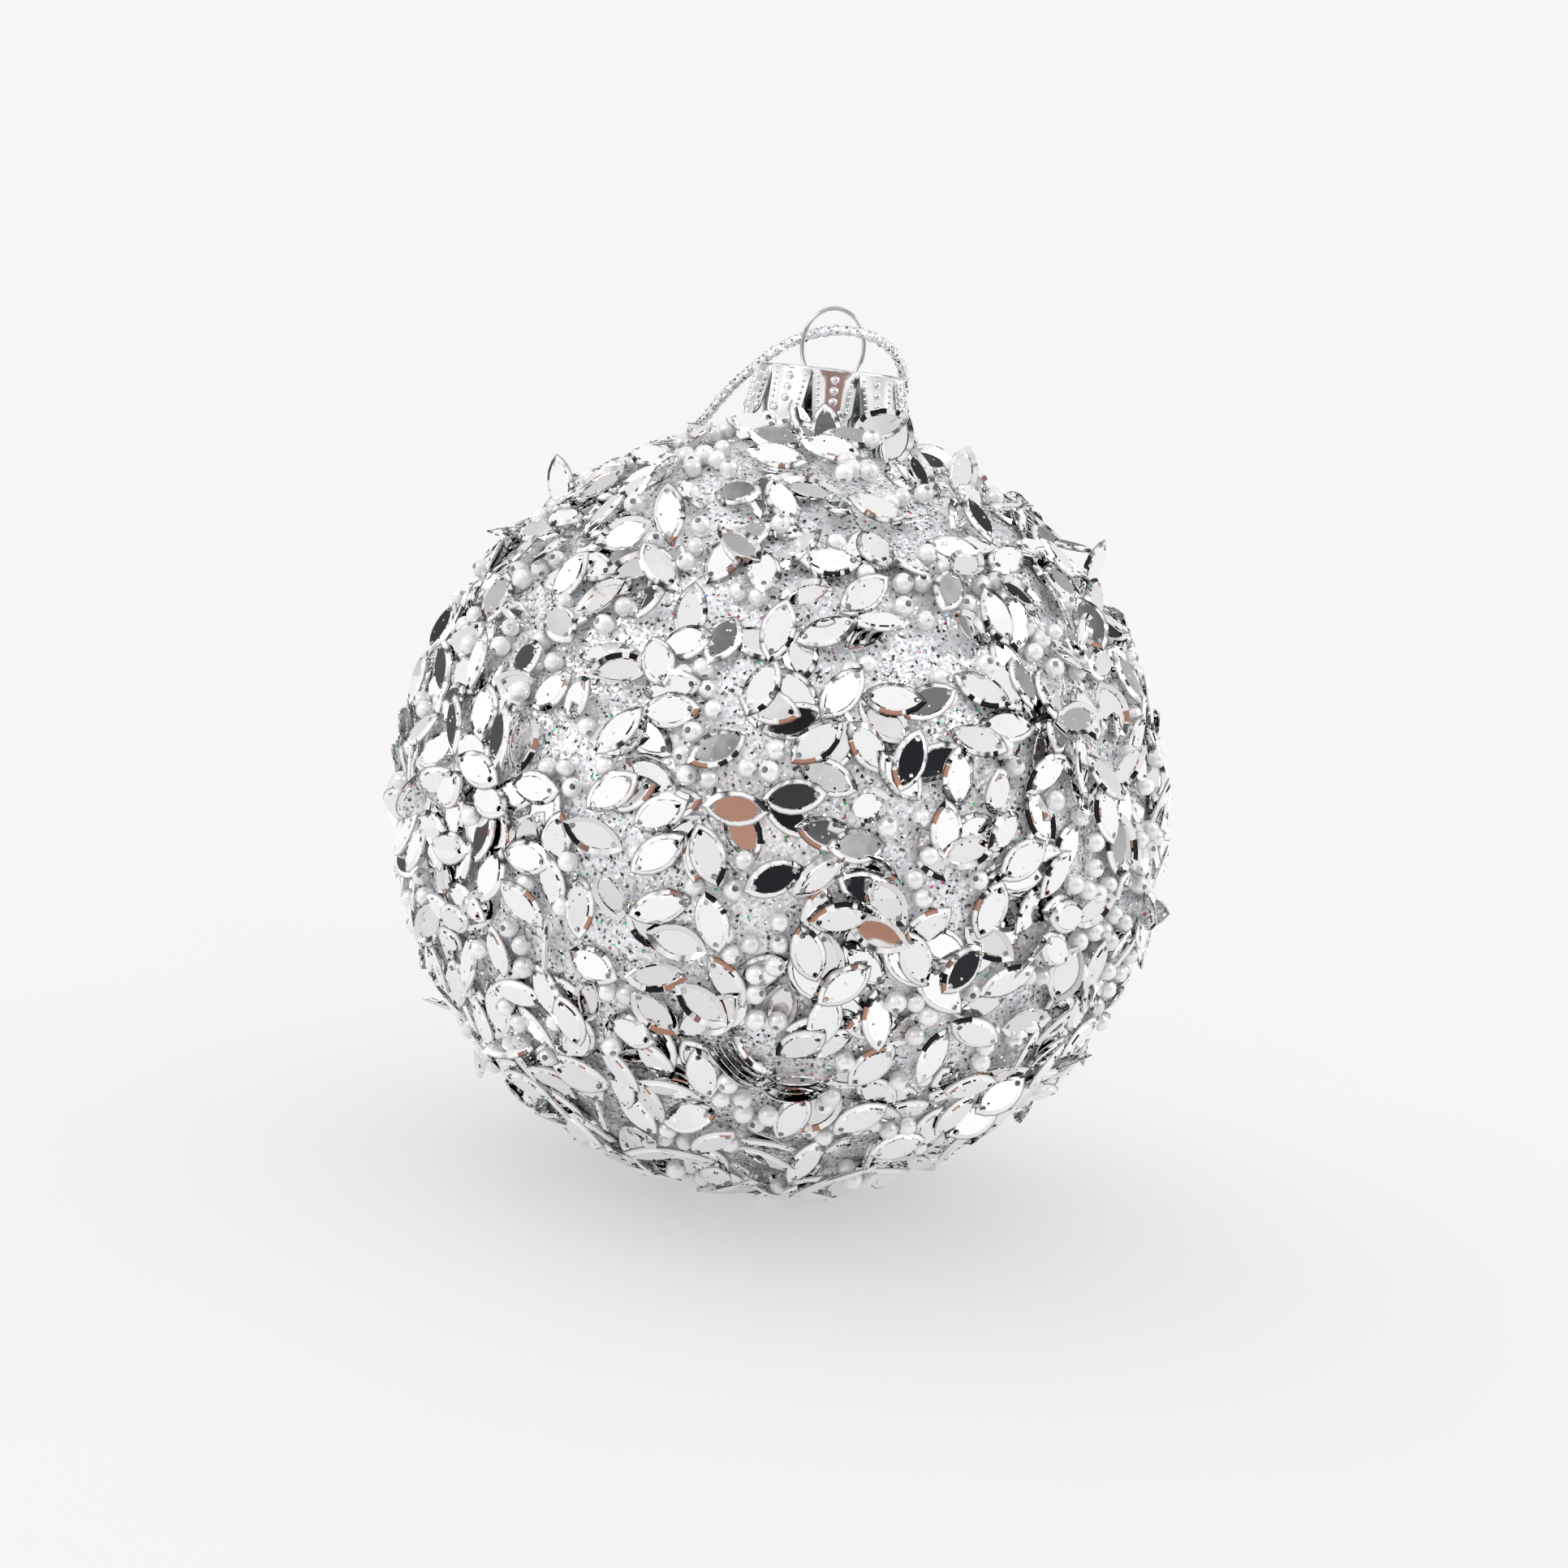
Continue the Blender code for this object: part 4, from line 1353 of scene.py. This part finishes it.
# %% [markdown]
# ## The crown cap
#
# The cap is stamped from thin sheet. Its top is a ten-sided disc with a rolled
# edge, and each side hangs down as a separate tab that flares outwards, rounds
# in at its corners and ends in a narrow foot. A tab is creased along both sides,
# and embossed: round bosses down the middle, a row of beads along each side and
# two oval bosses low down.

# %% Sheet of the cap
TABS = 10
CAP_RADIUS = 10.2 * MM
CAP_TURN = radians(4.4)
CAP_FLARE = tan(radians(12.0))
CAP_SHEET = 0.22 * MM
ROLL = 0.35 * MM
CREASE = 0.28 * MM
TAB_SIDE = 2.0 * CAP_RADIUS * sin(pi / TABS)
TAB_OUT = CAP_RADIUS * cos(pi / TABS)
TAB_COLUMNS = (-1.0, -0.84, -0.56, -0.28, 0.0, 0.28, 0.56, 0.84, 1.0)
TAB_ROWS = [                       # depth, share of the side's width, crease
    (0.9, 0.985, 0.3), (1.5, 0.95, 0.8), (2.6, 0.92, 1.0), (3.8, 0.89, 1.0), (5.0, 0.86, 1.0),
    (5.7, 0.84, 1.0), (6.2, 0.78, 0.9), (6.6, 0.66, 0.6), (6.9, 0.50, 0.3), (7.2, 0.34, 0.0),
    (7.7, 0.30, 0.0), (8.1, 0.38, 0.0), (8.5, 0.52, 0.0),
]


def tab_panel():
    """One tab, hanging down at -Y, as a grid that is bent to its outline."""
    bm = bmesh.new()
    bmesh.ops.create_grid(bm, x_segments=len(TAB_COLUMNS) - 1, y_segments=len(TAB_ROWS),
                          size=1.0)
    columns = sorted({round(v.co.x, 5) for v in bm.verts})
    rows = sorted({round(v.co.y, 5) for v in bm.verts}, reverse=True)
    stations = [(ROLL / MM, 1.0, 0.0)] + TAB_ROWS
    for vert in bm.verts:
        column = TAB_COLUMNS[columns.index(round(vert.co.x, 5))]
        depth, width, crease = stations[rows.index(round(vert.co.y, 5))]
        depth *= MM
        set_back = CREASE * crease * max(0.0, abs(column) - 0.56) / 0.44
        out = TAB_OUT + CAP_FLARE * depth - set_back
        vert.co = (column * width * TAB_SIDE / 2.0, -out, -depth)
    return bm


def boss(bm, x, depth, wide, tall, proud):
    """A dome on the tab's face, flattened to stand proud of it."""
    centre = Vector((x, -(TAB_OUT + CAP_FLARE * depth), -depth))
    lean = Matrix.Rotation(-radians(12.0), 4, "X")
    size = Matrix.Diagonal((wide / 2.0, proud, tall / 2.0, 1.0))
    bmesh.ops.create_uvsphere(bm, u_segments=12, v_segments=8, radius=1.0,
                              matrix=Matrix.Translation(centre) @ lean @ size)


def cap_top():
    """The ten-sided top with its rolled edge and a shallow dish."""
    bm = bmesh.new()
    inner = CAP_RADIUS - ROLL
    bmesh.ops.create_circle(bm, cap_ends=True, segments=TABS, radius=inner)
    turn = Matrix.Rotation(pi / TABS - pi / 2.0, 4, "Z")
    bmesh.ops.transform(bm, matrix=turn, verts=bm.verts)
    edges = bm.edges[:]
    bend_steps = 4
    for step in range(1, bend_steps + 1):
        angle = 0.5 * pi * step / bend_steps
        geom = bmesh.ops.extrude_edge_only(bm, edges=edges)["geom"]
        edges = [g for g in geom if isinstance(g, bmesh.types.BMEdge) and g.is_boundary]
        for vert in (g for g in geom if isinstance(g, bmesh.types.BMVert)):
            flat = Vector((vert.co.x, vert.co.y, 0.0)).normalized()
            flat *= inner + ROLL * sin(angle)
            vert.co = (flat.x, flat.y, -ROLL * (1.0 - cos(angle)))
    disc = [face for face in bm.faces if len(face.verts) == TABS]
    bmesh.ops.inset_region(bm, faces=disc, thickness=1.5 * MM)
    bmesh.ops.inset_region(bm, faces=disc, thickness=0.5 * MM, depth=-0.25 * MM)
    return bm


sheet_bm = cap_top()
add_round(sheet_bm, mesh_from(tab_panel(), "tab"), TABS, Matrix.Identity(4))
bmesh.ops.remove_doubles(sheet_bm, verts=sheet_bm.verts, dist=0.02 * MM)
bmesh.ops.recalc_face_normals(sheet_bm, faces=sheet_bm.faces)
if max(sheet_bm.faces, key=lambda face: face.calc_center_median().z).normal.z < 0.0:
    bmesh.ops.reverse_faces(sheet_bm, faces=sheet_bm.faces)
bmesh.ops.solidify(sheet_bm, geom=sheet_bm.faces[:], thickness=CAP_SHEET)
ON_NECK = Matrix.Translation((0.0, 0.0, CAP_TOP)) @ Matrix.Rotation(CAP_TURN, 4, "Z")
bmesh.ops.transform(sheet_bm, verts=sheet_bm.verts, matrix=ON_NECK)

# %% Holes for the wire
HOLE_IN_CAP = 3.4 * MM
WIRE_HOLE_RADIUS = 0.75 * MM

cap_blank = new_object("cap_blank", mesh_from(sheet_bm, "cap_blank"))
wire_punches = [punch_cutter((x, 0.0, CAP_TOP), WIRE_HOLE_RADIUS, 3.0 * MM, 20)
                for x in (-HOLE_IN_CAP, HOLE_IN_CAP)]
punched = baked(cap_blank, wire_punches)
sheet_bm = bmesh.new()
sheet_bm.from_mesh(punched)
print("cap sheet:", len(punched.polygons), "faces")

# %% Bosses of the cap
boss_bm = bmesh.new()
for depth in (1.5, 2.95, 4.4):
    boss(boss_bm, 0.0, depth * MM, 1.2 * MM, 1.2 * MM, 0.42 * MM)
for side in (-1.0, 1.0):
    for index in range(6):
        depth = (1.15 + 0.80 * index) * MM
        boss(boss_bm, side * (2.28 - 0.055 * index) * MM, depth, 0.50 * MM, 0.50 * MM, 0.20 * MM)
    boss(boss_bm, side * 1.45 * MM, 5.75 * MM, 1.45 * MM, 1.15 * MM, 0.36 * MM)
add_round(sheet_bm, mesh_from(boss_bm, "bosses"), TABS, ON_NECK)
cap_mesh = keep_mesh(sheet_bm, "stamped_cap", 38.0)
cap = make_piece("stamped_cap", cap_mesh, CAP_PLATE, "cap")
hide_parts("crown_cap")

# %% [markdown]
# ## The wire ring
#
# The ring is one length of spring wire: a leg, an oval ring, and the other leg.
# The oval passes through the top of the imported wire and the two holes.

# %% Wire ring
WIRE_RADIUS = 0.28 * MM
RING_HALF_WIDTH = 4.2 * MM
RING_TOP = wire_high.z - CAP_TOP - 0.30 * MM
LEG_DEPTH = CAP_TOP - wire_low.z - 0.25 * MM
LEG_STRAIGHT = 5.0 * MM
LEG_TIP = 6.4 * MM

entry = asin(-sqrt(1.0 - (HOLE_IN_CAP / RING_HALF_WIDTH) ** 2))
ring_half_height = RING_TOP / (1.0 - sin(entry))
leg = []
for step in range(17):
    part = step / 16.0
    ease = 0.5 - 0.5 * cos(pi * part)
    leg.append((HOLE_IN_CAP + (LEG_TIP - HOLE_IN_CAP) * ease,
                -LEG_STRAIGHT - (LEG_DEPTH - LEG_STRAIGHT) * part))
leg.insert(0, (HOLE_IN_CAP, -0.5 * MM))
wire_line = [Vector((x, 0.0, CAP_TOP + z)) for x, z in reversed(leg)]
for step in range(73):
    angle = entry + (pi - 2.0 * entry) * step / 72.0
    wire_line.append(Vector((RING_HALF_WIDTH * cos(angle), 0.0,
                             CAP_TOP + RING_TOP + ring_half_height * (sin(angle) - 1.0))))
wire_line += [Vector((-x, 0.0, CAP_TOP + z)) for x, z in leg]
wire_mesh = mesh_from(tube_mesh("wire_ring", wire_line, WIRE_RADIUS, 4), "wire_ring", 50.0)
wire = make_piece("wire_ring", wire_mesh, WIRE_STEEL, "hanger")
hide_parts("hanger_wire")

# %% [markdown]
# ## Floor, light and what the mirrors see
#
# The setting is a white table in a white studio. Mirrors show the room, so the
# room matters more than the lamps: white walls with a few grey gaps and brighter
# patches, made with noise on the world. Dark cards and warm ones round the ball
# stand for the camera and the person behind it, and a bright ring on the table
# for the light it throws up. Only reflections see them.

# %% World
WHITE = 0.920                      # what the camera sees past the table
FILL_LOW = (0.93, 0.925, 0.955)    # what lights the table and the pearls, from low
FILL_HIGH = (1.47, 1.460, 1.51)    # and from overhead


def studio_world():
    world = bpy.data.worlds.new("studio")
    world.use_nodes = True
    tree = world.node_tree
    tree.nodes.clear()
    coords = add_node(tree, "ShaderNodeTexCoord")
    room = add_node(tree, "ShaderNodeTexNoise", {
        "Vector": coords.outputs["Generated"], "Scale": 2.6, "Detail": 1.0})
    walls = add_ramp(tree, room.outputs["Fac"], [
        (0.33, 0.05), (0.385, 0.20), (0.42, 0.50), (0.455, 0.78), (0.50, 0.97), (0.60, 1.01)])
    soft = add_ramp(tree, room.outputs["Fac"], [(0.60, 0.0), (0.66, 1.0)])
    mirrored = mix(tree, soft, walls, (1.16, 1.16, 1.17, 1.0))
    height = add_node(tree, "ShaderNodeSeparateXYZ", {0: coords.outputs["Generated"]})
    sky = add_ramp(tree, height.outputs["Z"], [(0.0, FILL_LOW), (1.0, FILL_HIGH)])
    path = add_node(tree, "ShaderNodeLightPath")
    lit = mix(tree, path.outputs["Is Glossy Ray"], sky, mirrored)
    shown = mix(tree, path.outputs["Is Camera Ray"], lit, (WHITE, WHITE, WHITE, 1.0))
    light = add_node(tree, "ShaderNodeBackground", {"Color": shown})
    out = add_node(tree, "ShaderNodeOutputWorld")
    tree.links.new(light.outputs[0], out.inputs["Surface"])
    return world


bpy.context.scene.world = studio_world()
bpy.context.scene.view_settings.view_transform = "Standard"

# %% Floor
FLOOR_RADIUS = 6.0
TABLE_GLOW = 0.462                 # the table is lit a little from below


def stage_piece(name, bm, colour, glow=0.0):
    mesh = keep_mesh(bm, name)
    material, tree, shader = start_material(
        name, roughness=0.8, specular_ior_level=0.0,
        emission_color=(1.0, 1.0, 1.0, 1.0), emission_strength=glow)
    feed(tree, shader, base_color=add_ramp(tree, noise_on(tree, 12.0, 2.0), [
        (0.3, tuple(0.98 * v for v in colour)), (0.7, colour)]))
    mesh.materials.append(material)
    item = new_object(name, mesh)
    return item


bm = bmesh.new()
bmesh.ops.create_circle(bm, cap_ends=True, segments=96, radius=FLOOR_RADIUS)
stage_piece("table_top", bm, (0.34, 0.34, 0.34), TABLE_GLOW)

# %% Cards in front of the ball
def seen_in_mirrors(item):
    """Leave a setting piece to the reflections only."""
    for ray in ("camera", "diffuse", "shadow", "transmission"):
        setattr(item, "visible_" + ray, False)


def card(name, turn_deg, distance, width, low, high, colour):
    """An upright card seen only in reflections; turn is to the right of the camera."""
    turn = radians(turn_deg)
    out = Vector((sin(turn), -cos(turn), 0.0))
    bm = bmesh.new()
    bmesh.ops.create_grid(bm, x_segments=1, y_segments=1, size=0.5)
    across = Vector((cos(turn), sin(turn), 0.0))
    up = Vector((0.0, 0.0, 1.0))
    place = axes_turn(across * width, up * (high - low), out)
    centre = out * distance + up * (low + high) / 2.0
    bmesh.ops.transform(bm, matrix=Matrix.Translation(centre) @ place, verts=bm.verts)
    seen_in_mirrors(stage_piece(name, bm, colour))


bm = bmesh.new()
for radius in (0.15, 1.6):
    bmesh.ops.create_circle(bm, segments=64, radius=radius)
bmesh.ops.bridge_loops(bm, edges=list(bm.edges))
bmesh.ops.translate(bm, vec=(0.0, 0.0, 0.5 * MM), verts=bm.verts)
seen_in_mirrors(stage_piece("table_bounce", bm, (0.20, 0.20, 0.20), 0.74))
for name, *where, colour in (
        ("camera_card", 2.0, 0.34, 0.07, 0.08, 0.16, (0.015, 0.015, 0.017)),
        ("dark_card", 31.0, 0.34, 0.16, 0.02, 0.21, (0.02, 0.02, 0.024)),
        ("dark_card_far", 56.0, 0.36, 0.06, 0.06, 0.22, (0.03, 0.03, 0.035)),
        ("grey_card", -111.0, 0.40, 0.12, 0.002, 0.13, (0.09, 0.09, 0.09)),
        ("warm_card", -3.0, 0.20, 0.12, 0.004, 0.062, (0.46, 0.25, 0.18)),
        ("warm_card_high", 9.0, 0.36, 0.08, 0.23, 0.33, (0.30, 0.17, 0.15))):
    card(name, *where, colour)
print("stage pieces made")

# %% [markdown]
# ## Lamps
#
# The main light is a very large soft one, high on the left and a little behind.
# A sun with a wide angle does that, and it lights the table evenly however far
# it goes. Two softboxes only sparkle: they are seen in reflections and light
# nothing else.

# %% Lamps
def add_lamp(name, kind, place, energy):
    lamp = bpy.data.lights.new(name, kind)
    lamp.energy = energy
    item = new_object(name, lamp)
    item.location = place
    item.rotation_euler = (BALL_CENTRE - Vector(place)).to_track_quat("-Z", "Y").to_euler()
    return item


window = add_lamp("window", "SUN", (-0.8, 0.3, 1.0), 0.42)
window.data.angle = radians(60.0)
window.visible_glossy = False
window.data.color = (1.0, 0.98, 0.90)
for name, place, energy in (
        ("left_softbox", (-0.9, -0.6, 0.8), 5.0), ("right_softbox", (0.95, -0.1, 0.9), 4.0)):
    softbox = add_lamp(name, "AREA", place, energy)
    softbox.data.size = 0.45
    softbox.visible_diffuse = False
print("lamps made")
